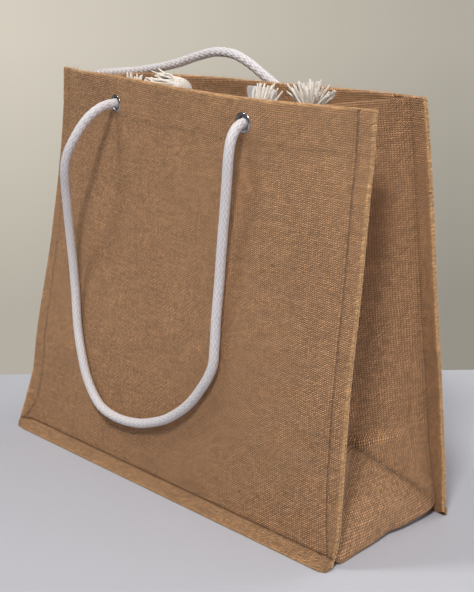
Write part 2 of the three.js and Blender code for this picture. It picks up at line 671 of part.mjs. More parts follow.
// Overhand knot as two crossing turns of rope round a core, with the frayed end fused into it. The strands
// leave the neck on a spiral, the outer ones leaning out the most.
function knotSolid(knot) {
  const centre = new THREE.Vector3(...knot.at);
  const ropeWay = new THREE.Vector3(...knot.from).normalize();
  const frayWay = new THREE.Vector3(...knot.fray).normalize();
  const sideWay = new THREE.Vector3(...knot.across);
  sideWay.addScaledVector(frayWay, -sideWay.dot(frayWay)).normalize();
  const backWay = frayWay.clone().cross(sideWay);
  const turn = (axis) => {
    const ring = new THREE.TorusGeometry(knotRingRadius, ropeDiameter / 2, 7, 12);
    const facing = new THREE.Quaternion().setFromUnitVectors(new THREE.Vector3(0, 0, 1), axis.normalize());
    return toManifold(ring.applyQuaternion(facing).translate(...knot.at));
  };
  const core = toManifold(new THREE.SphereGeometry(ropeDiameter * 0.7, 8, 6).translate(...knot.at));
  let solid = core.add(turn(ropeWay.clone().addScaledVector(sideWay, 0.35)));
  solid = solid.add(turn(backWay.clone().cross(ropeWay).addScaledVector(frayWay, 0.4)));
  for (let index = 0; index < knot.strands; index += 1) {
    const reach = Math.sqrt((index + 0.5) / knot.strands);
    const angle = index * Math.PI * (3 - Math.sqrt(5));
    const sideShare = reach * Math.cos(angle);
    const backShare = reach * Math.sin(angle);
    const start = centre.clone().addScaledVector(frayWay, 2);
    start.addScaledVector(sideWay, sideShare * neckRadius).addScaledVector(backWay, backShare * neckRadius);
    const lean = knot.fan[0] * sideShare;
    const direction = frayWay.clone().multiplyScalar(Math.cos(lean)).addScaledVector(sideWay, Math.sin(lean));
    direction.addScaledVector(backWay, Math.sin(knot.fan[1] * backShare)).normalize();
    const length = (knot.length - 2) * (1 - strandUnevenness * ((index * 7) % 5) / 4);
    const droop = sideWay.clone().multiplyScalar(sideShare * strandDroop);
    solid = solid.add(strandSolid(start, direction, length, droop));
  }
  return fromManifold(solid);
}

// Small tag lying against the inner face of the back panel's hem
function labelSolid(panel) {
  const inward = -(clothThickness * 1.5 + pieceGap);
  const placeOf = (list, value) => {
    const after = list.findIndex((entry, index) => index >= finRows && entry > value);
    return after - 1 + (value - list[after - 1]) / (list[after] - list[after - 1]);
  };
  const heights = [label.bottom, (label.bottom + label.top) / 2, eyeletHeight + eyeletPatch / 2, label.top];
  const acrosses = [label.left, 25, 37.5, label.right - 0.01];
  const face = (distance) => heights.map((height) => acrosses.map((across) => (
    gridPoint(panel.grid, panel.offsets, placeOf(rowHeights, height), placeOf(columns, across), distance))));
  return sheetBetween(face(inward), face(inward - label.thickness));
}

const bag = new THREE.Group();
const panels = { front: layPanel(frontPanelShape), rear: layPanel(backPanelShape) };
const eyeletsOf = (panelName) => eyelets.filter((eyelet) => eyelet.panel === panelName);
bag.add(piece('front_panel', panelSolid(panels.front, eyeletsOf('front')), clothMaterial));
bag.add(piece('back_panel', panelSolid(panels.rear, eyeletsOf('rear')), clothMaterial));
bag.add(piece('gusset', gussetSolid(panels.front, panels.rear), clothMaterial));
for (const eyelet of eyelets) {
  bag.add(piece(eyelet.name, eyeletSolid(eyeletSeat(panels[eyelet.panel], eyelet)), metalMaterial));
}
bag.add(piece('handle_front', ropeSolid(frontRoute), ropeMaterial));
bag.add(piece('handle_rear', ropeSolid(rearRoute), ropeMaterial));
for (const knot of knots) {
  bag.add(piece(knot.name, knotSolid(knot), ropeMaterial));
}
bag.add(piece('label', labelSolid(panels.rear), labelMaterial));

export default bag;
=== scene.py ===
"""Jute tote bag with two braided rope handles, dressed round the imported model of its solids."""

import math
import random
from collections import namedtuple

import bpy
import numpy as np
from bpy.props import FloatProperty, FloatVectorProperty, IntProperty, PointerProperty
from mathutils import Matrix, Vector


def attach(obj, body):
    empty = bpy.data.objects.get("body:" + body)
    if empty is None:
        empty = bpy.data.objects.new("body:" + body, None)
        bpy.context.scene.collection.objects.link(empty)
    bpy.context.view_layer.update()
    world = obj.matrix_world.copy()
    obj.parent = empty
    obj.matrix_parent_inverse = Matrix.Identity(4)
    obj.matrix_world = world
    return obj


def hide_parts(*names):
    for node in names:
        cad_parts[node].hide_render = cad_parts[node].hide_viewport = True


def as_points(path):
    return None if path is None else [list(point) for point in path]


bl_info = {
    "name": "Jute Tote Bag",
    "version": (1, 0, 0),
    "blender": (4, 5, 0),
    "location": "View3D > Sidebar > Tote Bag",
    "description": "Models the cloth, ropes, eyelets and stitching of a jute tote bag",
    "category": "Object",
}

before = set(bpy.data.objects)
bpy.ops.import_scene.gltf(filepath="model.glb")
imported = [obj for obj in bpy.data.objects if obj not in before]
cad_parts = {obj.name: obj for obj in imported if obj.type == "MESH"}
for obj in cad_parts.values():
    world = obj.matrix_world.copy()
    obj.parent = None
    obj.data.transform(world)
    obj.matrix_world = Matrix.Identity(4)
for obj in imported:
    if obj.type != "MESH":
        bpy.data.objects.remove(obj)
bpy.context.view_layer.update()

MM = 0.001
BODY = "root"

# Sizes of the cloth, in millimetres, as the solids have them
BAG_WIDTH = 400.0
BAG_HEIGHT = 335.0
CLOTH = 1.6
PIECE_GAP = 0.45
FIN_WIDTH = 13.0
HEM_DEPTH = 35.0
HEM_EDGE = 168.0
FLAP_EDGE = 172.0
HEM_LINE = BAG_HEIGHT - HEM_DEPTH
HALF_WIDTH = BAG_WIDTH / 2
ROOT_ACROSS = HALF_WIDTH - FIN_WIDTH
FIN_MIDDLE = HALF_WIDTH - FIN_WIDTH / 2
FIN_SPREAD_HEIGHT = 70.0
FIN_SPREAD_AT_ROOT = 7.0
FIRST_ROW_ABOVE_FIN = 25.25

# Sizes of the folded gusset, in millimetres
GUSSET_HALF_WIDTH = 68.0
FOLD_HALF_GAP = 2.6
FOLD_NOSE = 1.6
APEX_HEIGHT = 77.0
APEX_INSET = 29.0
APEX_DROP = 10.0
FOLD_DROP_AT_MOUTH = 7.0
BASE_BULGE = 5.5
BASE_CLEARANCE = 1.3
BASE_LINE = 8.0
CREASE_START = 4.0
CREASE_HALF_WIDTH = 3.0
CREASE_DEPTH = 2.2
FRONT_CREASE_SHARE = 0.35
CORNER_EASE = 0.3
TIP_ABOVE_FLOOR = 0.9

# Finish of the cloth, in millimetres: its pressed seams, the thread in them, its folds and its edges
SEAM_HALF_WIDTH = 1.3
BASE_SEAM_HALF_WIDTH = 1.6
SEAM_DEPTH = 1.2
HEM_SEAM_ABOVE = 3.0
STITCH_SUNK = 1.05
STITCH_RADII = (0.12, 0.26, 0.3, 0.26, 0.12)
RIM_WIDTH = 1.6
FOLD_INSET = CLOTH + 0.15
FOLD_PATH = ((0, 0.9), (0.25, 0.3), (FOLD_INSET / 2, 0.05), (FOLD_INSET - 0.25, 0.3), (FOLD_INSET, 0.9))
FOLD_ROUND = 1.2
CLOTH_EDGE = 0.4

# Grids of the cloth: the column along which a panel's length is measured, the rows of the gusset, and how far
# a panel's points are 1 mm apart beside its seams and eyelets, up from the floor and down from its top
PLAIN_COLUMN = 60
GUSSET_ROWS = 300
FINE_BESIDE_SEAM = 5.0
FINE_BESIDE_EYELET = 12.5
FINE_FOOT = 14.0
FINE_TOP = 32.0


def table(columns, *rows):
    """Table of numbers, read by the names of its columns."""
    return namedtuple("Table", columns)(*np.array(rows, float).T)


Fin = namedtuple("Fin", "tip_spread corner_inset flare_drop turn_depth turn_height turn_shares")
Panel = namedtuple("Panel", "outward root_height flare left_fin right_fin section bow_depth mouth")

# Distance of each panel from the bag's middle plane at its left and right edges, up its height, and how far
# its top edge bows out and rises, across its width. A fin's insets and turn shares go from root to tip.
FRONT = Panel(
    outward=-1,
    root_height=6.7,
    flare=math.radians(59),
    left_fin=Fin(4.0, (-1.5, -2.0, 0.5), math.radians(4), 7.0, 50.0, (1.0, 0.35, 0.0)),
    right_fin=Fin(0.5, (3.8, 2.0, 2.5), math.radians(8), 0.0, 50.0, (0.0, 0.0, 0.0)),
    section=table(
        "height left right",
        (6.7, -61.0, -61.3), (27, -57.6, -59.6), (59, -50.6, -57.0), (91, -44.8, -54.4),
        (132, -34.6, -51.0), (166, -25.8, -46.7), (201, -18.2, -41.7), (235, -11.4, -37.6),
        (270, -5.4, -33.7), (300, -1.6, -29.9), (335, 1.0, -27.2),
    ),
    bow_depth=28.0,
    mouth=table(
        "across bow rise",
        (-200, 0, 0), (-150, 0.42, 0.3), (-100, 0.74, 2.2), (-50, 0.93, 2), (0, 1, 1),
        (50, 0.97, 0), (100, 0.8, -0.8), (150, 0.45, -0.8), (200, 0, -1),
    ),
)
BACK = Panel(
    outward=1,
    root_height=10.0,
    flare=math.radians(14),
    left_fin=Fin(3.0, (0.0, 0.0, 1.0), 0.0, 0.0, 50.0, (0.0, 0.0, 0.0)),
    right_fin=Fin(3.0, (0.0, 0.0, 1.2), 0.0, -4.5, 45.0, (1.0, 1.0, 1.0)),
    section=table(
        "height left right",
        (10, 67.7, 69.3), (58, 61.5, 63.8), (91, 56.6, 60.2), (124, 51.2, 56.1), (184, 41.5, 47.7),
        (220, 35.6, 43.4), (259, 29.0, 38.8), (300, 22.0, 33.1), (335, 16.5, 27.4),
    ),
    bow_depth=5.0,
    mouth=table(
        "across bow rise",
        (-200, 0, -9), (-160, 0, -6.2), (-120, -0.2, -1.8), (-100, -0.2, 0), (-50, -0.3, 1.5),
        (0, -0.2, 2.5), (50, 0.5, 2), (100, 1, 2), (150, 0.9, 2.5), (200, 0, 2.5),
    ),
)

# Lower edge of the gusset's sides, from the front panel at -1 to the back one at 1: how far it stands out
# beyond the seams, its height, and how much of the seam's own height the base keeps there
BASE_EDGE = table(
    "share out height seam_share",
    (-1, 0, 6.7, 1), (-0.9, 4.2, 1.5, 0.3), (-0.75, 3.5, 1.5, 0), (-0.5, 2.5, 2.2, 0),
    (-0.25, 1.5, 2.7, 0), (0, -0.6, 3.3, 0), (0.05, -1.3, 3.7, 0), (0.25, 1, 4, 0),
    (0.5, 1.8, 4.8, 0.05), (0.75, 1.8, 5.8, 0.35), (0.9, 1, 7.4, 0.75), (1, 0, 10, 1),
)

# How far the seam of the front panel's left fin strays outwards from the plain line, up its height
LEFT_SEAM = table(
    "height out",
    (6.7, 12.5), (10, 7), (19, 2.4), (30, -2), (42, -3), (62, -3), (120, -1.5), (335, -1),
)

# Soft folds pressed into a panel: a trough or ridge from one point to another, in millimetres
# across and up, with its half width and its depth, which is positive inwards
Crease = namedtuple("Crease", "start end half_width depth")
FRONT_CREASES = [
    Crease((-150, 275), (-138, 120), 13, 2.4),
    Crease((-118, 245), (-110, 95), 9, -1.4),
    Crease((-62, 290), (-68, 130), 8, 1.7),
    Crease((-40, 280), (-46, 150), 9, -0.9),
    Crease((-96, 60), (-60, 22), 8, 1.2),
    Crease((86, 290), (78, 60), 12, 0.9),
    Crease((120, 60), (160, 30), 12, 0.8),
]
BACK_CREASES = [
    Crease((-130, 240), (-120, 90), 15, 1.5),
    Crease((30, 260), (40, 120), 14, 1.0),
    Crease((120, 200), (110, 60), 12, -0.9),
]

# Places round the gusset, each with its marks from the fin's tip to its root: distance across, height (above
# the panel's root where the place itself has none) and share down the bottom fin
Station = namedtuple("Station", "side height edge_share marks")

# Steps round a corner of the base: how much of the base edge's shape each has, and its marks
CORNER_STEPS = [
    (1, ((HALF_WIDTH, 0, 0), (FIN_MIDDLE, 0, 0), (ROOT_ACROSS, 2.8, 0))),
    (1, ((HALF_WIDTH, 0, 0.5), (FIN_MIDDLE, 0, 0.25), (ROOT_ACROSS - 0.7, 0, 0))),
    (0.75, ((HALF_WIDTH, 0, 1), (FIN_MIDDLE, 0, 0.5), (ROOT_ACROSS - 1.6, 0, 0))),
    (0.4, ((FIN_MIDDLE, 0, 1), (FIN_MIDDLE - 3.25, 0, 0.5), (ROOT_ACROSS - 2.6, 0, 0))),
]

Seat = namedtuple("Seat", "name centre outward")
EYELETS = [
    Seat("front_left", (-83.2, -29.4, 314.9), (-0.182, -0.983, 0.005)),
    Seat("front_right", (86.0, -42.65, 316.35), (0.037, -0.999, 0.001)),
    Seat("rear_left", (-86.0, 21.0, 315.2), (-0.019, 0.987, 0.16)),
    Seat("rear_right", (86.1, 31.1, 316.7), (-0.067, 0.987, 0.145)),
]
EYELET_ACROSS = 86.0
EYELET_CUT = 6.65
EYELET_REACH = 8.0

# Routes of the two handles, in millimetres, as the solids have them
FRONT_ROUTE = [
    (-82.5, -25.3, 315), (-83.2, -29.4, 315), (-84.9, -38, 314.4), (-87, -47.5, 311), (-90.6, -57, 303),
    (-96.6, -64, 290), (-105, -67.6, 274), (-111.5, -66.6, 258), (-119.8, -60.3, 234),
    (-126.2, -54.2, 203.5), (-128.6, -50.6, 174), (-127.4, -50.2, 145.5), (-120.8, -54.2, 114.5),
    (-110, -58.4, 88.5), (-98.7, -60.9, 68.8), (-80.4, -63.1, 53), (-55, -64.4, 48.8), (-27, -64.7, 51.8),
    (-8.6, -64.6, 57.3), (15, -64.6, 68), (40.4, -64.1, 86.7), (59, -63.3, 108.6), (68.8, -62.4, 126),
    (70.8, -61.9, 141), (71.3, -60, 166), (73.2, -58, 194.5), (76.6, -58, 223), (80.2, -58.2, 248),
    (84.4, -59.2, 274), (87.4, -60, 293), (88.3, -58, 305.5), (87.6, -51.6, 313.6), (86.2, -42.6, 316.3),
    (85.8, -37.9, 316.4),
]
REAR_ROUTE = [
    (-46.2, 4, 318.1), (-55, 3.6, 313.8), (-67, 3.8, 312.4), (-78, 6.6, 312.8), (-84.2, 12.4, 314),
    (-86, 21, 315.2), (-86.3, 33, 317.1), (-86.6, 41, 315.6), (-87.2, 47.5, 310.4), (-88, 51, 302),
    (-89.5, 52, 290), (-94, 52.6, 260), (-102, 55, 228), (-112, 58, 208), (-127, 60, 194.5),
    (-146, 60.5, 190), (-166, 58.5, 196), (-183, 54, 212), (-200, 46, 247), (-206, 37.5, 285),
    (-204.5, 32.5, 305), (-198, 28.4, 319), (-184, 26.2, 327.4), (-165, 25.6, 330.4), (-130, 26.2, 334.2),
    (-98, 27, 339.2), (-70, 28, 345.2), (-48, 29.2, 351.6), (-26, 30.6, 356.6), (-6, 32.6, 356),
    (9, 35.4, 350), (20.5, 38.8, 342), (33, 43.8, 332.2), (43.5, 47.4, 324), (57, 49.6, 318.6),
    (72, 48.8, 317.2), (83, 42.8, 318), (86, 31.5, 316.8), (87.2, 26.4, 316.1), (92.2, 18.7, 316.5),
]

# Turns that the braid's strands make along one diameter of rope, and the spacing of its rings in millimetres
BRAID_LAY = 1.3
ROPE_STEP = 0.9

# Rope ends inside the bag: place of the knot, the way the rope comes in, the way the frayed end points, the
# way it fans out, how far it leans in radians that way and square to it, its length, its yarns with their
# radius and curl, how far along the fray they start, and how far from its middle
Knot = namedtuple("Knot", "name at inward fray across fan length yarns thick curl start spread")
KNOTS = [
    Knot("front_left", (-80.6, -15, 315), (-0.2, -1, 0), (0.3, 0.15, 1), (1, 0, 0),
         fan=(0.5, 0.3), length=24, yarns=30, thick=1.0, curl=1.0, start=2, spread=4),
    Knot("front_right", (85.5, -28, 316.4), (0, -1, 0), (-0.05, 0.5, 1), (1, 0, 0),
         fan=(0.22, 0.3), length=30, yarns=30, thick=1.05, curl=1.2, start=2, spread=4),
    Knot("rear_left", (-40, 4.2, 327), (-0.6, 0, -0.8), (-1, 0.06, -0.09), (0, 0, 1),
         fan=(0.1, 0.14), length=38, yarns=150, thick=0.9, curl=2.6, start=-9, spread=8.6),
    Knot("rear_right", (101.4, 12.2, 318.4), (-0.75, 0.6, 0), (0.05, 0, 1), (1, 0, 0),
         fan=(1.05, 0.35), length=27, yarns=42, thick=1.05, curl=1.0, start=2, spread=4),
]

# Radius of the rope in a knot, half of the knot's width and depth along its path, and the braid's relief, in
# millimetres
KNOT_ROPE_RADIUS = 3.6
KNOT_SIZE = 2.15
KNOT_DEPTH = 3.4
KNOT_RELIEF = 0.45

# Tag inside the back panel's hem, in millimetres across and up
LABEL_LEFT = 22.5
LABEL_RIGHT = 51.5
LABEL_TOP = 331.8
LABEL_BOTTOM = 310.0
LABEL_CORNER = 3.0
LABEL_THICKNESS = 0.6
LABEL_EDGE = 0.12

# Camera fitted to the photograph, whose frame is 474 by 592 pixels
FRAME_HEIGHT_PX = 592
FOCAL_PX = 1229.84
SENSOR_WIDTH = 36
CAMERA_PLACE = (0.74604, -0.66729, 0.44581)
CAMERA_AZIMUTH = math.radians(46.988)
CAMERA_PITCH = math.radians(16.132)
CAMERA_ROLL = math.radians(-0.578)

# Stage, in metres: the table with its far edge behind the bag, and the soft lights aimed at the bag
TABLE_WIDTH = 8.0
TABLE_DEPTH = 6.0
TABLE_EDGE_BEHIND = 0.246
LIGHT_AIM = Vector((0, 0, 0.15))
Lamp = namedtuple("Lamp", "name place size power tint")
LAMPS = [
    Lamp("Window", (0.87, -1.19, 1.80), 0.3, 30.5, (1.0, 0.98, 0.96)),
    Lamp("Left window", (-0.74, -0.95, 2.5), 0.4, 24, (1.0, 0.98, 0.96)),
    Lamp("Side fill", (2.3, 0.6, 0.5), 2.0, 22, (0.93, 0.97, 1.06)),
    Lamp("Overhead", (0.0, 0.3, 2.2), 1.2, 4, (1.0, 0.98, 0.96)),
    Lamp("Back fill", (0.7, 2.0, 1.3), 1.6, 20, (1.0, 0.98, 0.97)),
]


def metres(name, default, description, least=0.00001):
    """Property for a length."""
    return FloatProperty(name=name, description=description, default=default, min=least, unit="LENGTH")


class ToteSizes(bpy.types.PropertyGroup):
    """Sizes that a user of the bag would change"""

    cloth_step: metres("Cloth step", 0.0036, "Spacing of the points on the cloth", 0.002)
    thread_across: metres("Thread pitch across", 0.002, "Distance between upright threads")
    thread_up: metres("Thread pitch up", 0.00162, "Distance between level threads")
    rope_diameter: metres("Rope diameter", 0.008, "Diameter of the braided handles")
    braid_relief: metres("Braid relief", 0.0003, "Depth of the grooves of the braid")
    stitch_pitch: metres("Stitch pitch", 0.0065, "Distance between stitches")
    eyelet_inner: metres("Eyelet bore radius", 0.0052, "Inner radius of an eyelet")
    eyelet_outer: metres("Eyelet flange radius", 0.0078, "Outer radius of an eyelet")
    braid_strands: IntProperty(
        name="Braid strands", description="Strands that run each way round the rope", default=8, min=3,
    )


def colour(name, description, default):
    """Property for a colour."""
    return FloatVectorProperty(
        name=name, description=description, default=default, size=4, min=0, max=1, subtype="COLOR",
    )


class ToteColours(bpy.types.PropertyGroup):
    """Colours of the bag's materials and of the stage"""

    jute: colour("Jute", "Face of a jute thread", (0.62, 0.340, 0.166, 1))
    jute_dark: colour("Jute shade", "Gap between jute threads", (0.085, 0.038, 0.016, 1))
    jute_pale: colour("Jute pale", "Pale jute fibre", (0.62, 0.41, 0.25, 1))
    jute_rim: colour("Jute rim", "Jute along folded edges", (0.60, 0.35, 0.155, 1))
    cotton: colour("Cotton", "Strand of the rope", (0.74, 0.71, 0.72, 1))
    # Painted shade in the grooves between the braid's strands.
    cotton_painted_shade: colour("Cotton shade", "Groove between strands of the rope", (0.50, 0.46, 0.48, 1))
    yarn: colour("Yarn", "Loose yarn of the frayed ends", (0.90, 0.85, 0.78, 1))
    yarn_shade: colour("Yarn shade", "Darker side of a loose yarn", (0.70, 0.63, 0.55, 1))
    metal: colour("Metal", "Bright metal of the eyelets", (0.42, 0.42, 0.44, 1))
    metal_worn: colour("Worn metal", "Metal of the eyelets where it is worn", (0.4, 0.4, 0.42, 1))
    label: colour("Label", "Cloth of the tag", (0.93, 0.92, 0.93, 1))
    label_soiled: colour("Label soiled", "Cloth of the tag where it is soiled", (0.62, 0.6, 0.6, 1))
    label_shade: colour("Label shade", "Gap between threads of the tag", (0.4, 0.4, 0.45, 1))
    floor: colour("Floor", "Pale cloth of the table", (0.53, 0.535, 0.58, 1))
    floor_shade: colour("Floor shade", "Gap between threads of the table cloth", (0.477, 0.4815, 0.522, 1))
    sky: colour("Surroundings", "Light from all round", (0.16, 0.16, 0.16, 1))
    backdrop: colour("Backdrop", "Wall behind the table", (0.445, 0.413, 0.352, 1))


def sizes():
    return bpy.context.scene.tote_sizes


def colours():
    return bpy.context.scene.tote_colours


# Shared modelling helpers


def on_curve(keys, values, key):
    """Value at a key between a table's rows, on a smooth curve through them."""
    last = len(keys) - 1
    key = np.clip(np.asarray(key, float), keys[0], keys[last])
    lower = np.clip(np.searchsorted(keys, key, side="left") - 1, 0, last - 1)
    order = np.arange(last + 1)
    before = np.maximum(order - 1, 0)
    after = np.minimum(order + 1, last)
    extra = (1,) * (values.ndim - 1)
    slopes = (values[after] - values[before]) / (keys[after] - keys[before]).reshape(-1, *extra)
    shape = (*key.shape, *extra)
    span = (keys[lower + 1] - keys[lower]).reshape(shape)
    t = (key - keys[lower]).reshape(shape) / span
    start_share = 2 * t**3 - 3 * t**2 + 1
    end_share = 3 * t**2 - 2 * t**3
    start_turn = (t**3 - 2 * t**2 + t) * span
    end_turn = (t**3 - t**2) * span
    ends = start_share * values[lower] + end_share * values[lower + 1]
    return ends + start_turn * slopes[lower] + end_turn * slopes[lower + 1]


def hump(distance, half_width):
    """Bell-shaped share: 1 at no distance, fading out over the half width."""
    return np.exp(-((distance / half_width) ** 2))


def unit(vectors):
    lengths = np.linalg.norm(vectors, axis=-1, keepdims=True)
    return vectors / np.maximum(lengths, 1e-9)


def travelled_along(points, least=0.0):
    """Way gone at each point of a line, counting each step as the least or more."""
    steps = np.linalg.norm(np.diff(points, axis=0), axis=1)
    return np.concatenate([[0], np.cumsum(np.maximum(steps, least))])


def deselect_all():
    if bpy.context.object and bpy.context.object.mode != "OBJECT":
        bpy.ops.object.mode_set(mode="OBJECT")
    bpy.ops.object.select_all(action="DESELECT")


def activate(piece):
    deselect_all()
    piece.select_set(True)
    bpy.context.view_layer.objects.active = piece


def apply_modifier(piece, kind, **settings):
    """Adds a modifier to the piece, sets it and applies it."""
    activate(piece)
    modifier = piece.modifiers.new(kind.title(), kind)
    for key, value in settings.items():
        setattr(modifier, key, value)
    bpy.ops.object.modifier_apply(modifier=modifier.name)


def shade_smooth(piece, degrees):
    activate(piece)
    bpy.ops.object.shade_smooth_by_angle(angle=math.radians(degrees))


def thicken(piece, thickness, edge):
    """Makes cloth of a surface, with its thickness and rounded edge in millimetres, above the floor."""
    apply_modifier(piece, "SOLIDIFY", thickness=thickness * MM, offset=0, use_even_offset=True)
    apply_modifier(
        piece, "BEVEL", width=edge * MM, segments=2, limit_method="ANGLE", angle_limit=math.radians(60),
    )
    for vertex in piece.data.vertices:
        vertex.co.z = max(vertex.co.z, 0.0)
    shade_smooth(piece, 55)


def weld(piece, threshold, fill_ends=False):
    """Joins points that meet, closes the open ends if asked and turns all faces outwards."""
    activate(piece)
    bpy.ops.object.mode_set(mode="EDIT")
    bpy.ops.mesh.select_all(action="SELECT")
    bpy.ops.mesh.remove_doubles(threshold=threshold)
    if fill_ends:
        bpy.ops.mesh.select_all(action="DESELECT")
        bpy.ops.mesh.select_non_manifold()
        bpy.ops.mesh.fill_holes(sides=0)
    bpy.ops.mesh.select_all(action="SELECT")
    bpy.ops.mesh.normals_make_consistent(inside=False)
    bpy.ops.object.mode_set(mode="OBJECT")


def dress(piece, material, slot_name, *nodes):
    """Gives the piece its material and its place on the body, and hides the solids that it stands for."""
    if material:
        piece.data.materials.clear()
        piece.data.materials.append(material_of(material))
    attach(piece, BODY)
    if nodes:
        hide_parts(*nodes)


def grid_piece(name, points, uv, map_name="Cloth", **masks):
    """Grid primitive whose points are laid at the given places, in millimetres, with its UV map and masks."""
    rows, width = points.shape[:2]
    deselect_all()
    bpy.ops.mesh.primitive_grid_add(x_subdivisions=width - 1, y_subdivisions=rows - 1, size=1)
    piece = bpy.context.object
    piece.name = name
    mesh = piece.data
    mesh.name = name
    mesh.vertices.foreach_set("co", (points * MM).ravel().astype(np.float32))
    corners = np.empty(len(mesh.loops), int)
    mesh.loops.foreach_get("vertex_index", corners)
    layer = mesh.uv_layers[0]
    layer.name = map_name
    layer.data.foreach_set("uv", uv.reshape(-1, 2)[corners].ravel().astype(np.float32))
    for mask, values in masks.items():
        attribute = mesh.attributes.new(mask, "FLOAT", "POINT")
        attribute.data.foreach_set("value", np.broadcast_to(values, (rows, width)).ravel().astype(np.float32))
    mesh.update()
    return piece


def delete_faces(piece, doomed):
    """Deletes the faces that the function picks from their centres, in millimetres, and their numbers."""
    mesh = piece.data
    centres = np.empty(len(mesh.polygons) * 3, np.float32)
    mesh.polygons.foreach_get("center", centres)
    picked = doomed(centres.reshape(-1, 3) / MM, np.arange(len(mesh.polygons)))
    activate(piece)
    bpy.ops.object.mode_set(mode="EDIT")
    bpy.ops.mesh.select_mode(type="FACE")
    bpy.ops.mesh.select_all(action="DESELECT")
    bpy.ops.object.mode_set(mode="OBJECT")
    mesh.polygons.foreach_set("select", picked)
    bpy.ops.object.mode_set(mode="EDIT")
    bpy.ops.mesh.delete(type="FACE")
    bpy.ops.mesh.select_all(action="SELECT")
    bpy.ops.mesh.delete_loose(use_verts=True, use_edges=True, use_faces=False)
    bpy.ops.object.mode_set(mode="OBJECT")


def mesh_piece(name, points, edges, faces):
    """Piece with the given points, in millimetres, edges and faces."""
    mesh = bpy.data.meshes.new(name)
    mesh.from_pydata([tuple(point) for point in np.array(points) * MM], edges, faces)
    mesh.update()
    piece = bpy.data.objects.new(name, mesh)
    bpy.context.scene.collection.objects.link(piece)
    return piece


def bundle(name, tubes):
    """One smooth piece of many thin tubes, each given by its points and faces."""
    points, faces = [], []
    for rings, quads in tubes:
        faces.extend(tuple(len(points) + corner for corner in quad) for quad in quads)
        points.extend(rings)
    piece = mesh_piece(name, points, [], faces)
    shade_smooth(piece, 80)
    return piece


# Shader node helpers


class Signal:
    """Output of a shader node, which can be reckoned with like a number."""

    def __init__(self, socket):
        self.socket = socket
        self.tree = socket.id_data

    def math(self, operation, *others):
        return add_node(self.tree, "Math", enumerate((self, *others)), operation=operation)

    def spread(self, low, high, to_low, to_high):
        """The signal with one range of values spread over another."""
        return add_node(self.tree, "MapRange", enumerate((self, low, high, to_low, to_high)))

    def noise(self, scale, detail, roughness=0.5):
        settings = {"Vector": self, "Scale": scale, "Detail": detail, "Roughness": roughness}
        return add_node(self.tree, "TexNoise", settings, "Fac")

    def stretched(self, scales):
        """The vector with its parts scaled apart, for a pattern that runs along the threads."""
        return add_node(self.tree, "Mapping", {"Vector": self, "Scale": scales})

    def grey(self):
        return add_node(self.tree, "CombineColor", enumerate((self, self, self)))

    def parts(self):
        """The three numbers of a vector."""
        node = self.tree.nodes.new("ShaderNodeSeparateXYZ")
        feed(node.inputs[0], self)
        return [Signal(socket) for socket in node.outputs]

    def __add__(self, other):
        return self.math("ADD", other)

    def __sub__(self, other):
        return self.math("SUBTRACT", other)

    def __mul__(self, other):
        return self.math("MULTIPLY", other)

    def __truediv__(self, other):
        return self.math("DIVIDE", other)


def feed(socket, value):
    """Links a signal to the socket, or sets a plain value there."""
    if isinstance(value, Signal):
        value.tree.links.new(value.socket, socket)
    else:
        socket.default_value = value


def add_node(tree, kind, inputs=(), output=0, **settings):
    """Output of a new shader node with the given settings and inputs."""
    node = tree.nodes.new("ShaderNode" + kind)
    for name, value in settings.items():
        setattr(node, name, value)
    for key, value in dict(inputs).items():
        feed(node.inputs[key], value)
    return Signal(node.outputs[output])


def rest_of(share):
    """What is missing from a share to 1."""
    return add_node(share.tree, "Math", enumerate((1.0, share)), operation="SUBTRACT")


def mix(factor, first, second):
    """Colour between two others, by a factor."""
    return add_node(factor.tree, "Mix", {0: factor, 6: first, 7: second}, 2, data_type="RGBA")


def dimmed(tint, light):
    """Colour multiplied by a number."""
    inputs = {0: 1.0, 6: tint, 7: light.grey()}
    return add_node(light.tree, "Mix", inputs, 2, data_type="RGBA", blend_type="MULTIPLY")


def new_group(name, numbers, outputs):
    """Node group with a vector and numbers going in, and numbers coming out."""
    tree = bpy.data.node_groups.new(name, "ShaderNodeTree")
    tree.interface.new_socket("Vector", in_out="INPUT", socket_type="NodeSocketVector")
    for label, default in numbers.items():
        socket = tree.interface.new_socket(label, in_out="INPUT", socket_type="NodeSocketFloat")
        socket.default_value = default
    for label in outputs:
        tree.interface.new_socket(label, in_out="OUTPUT", socket_type="NodeSocketFloat")
    given = [Signal(socket) for socket in tree.nodes.new("NodeGroupInput").outputs]
    return tree, given[:len(numbers) + 1], tree.nodes.new("NodeGroupOutput").inputs


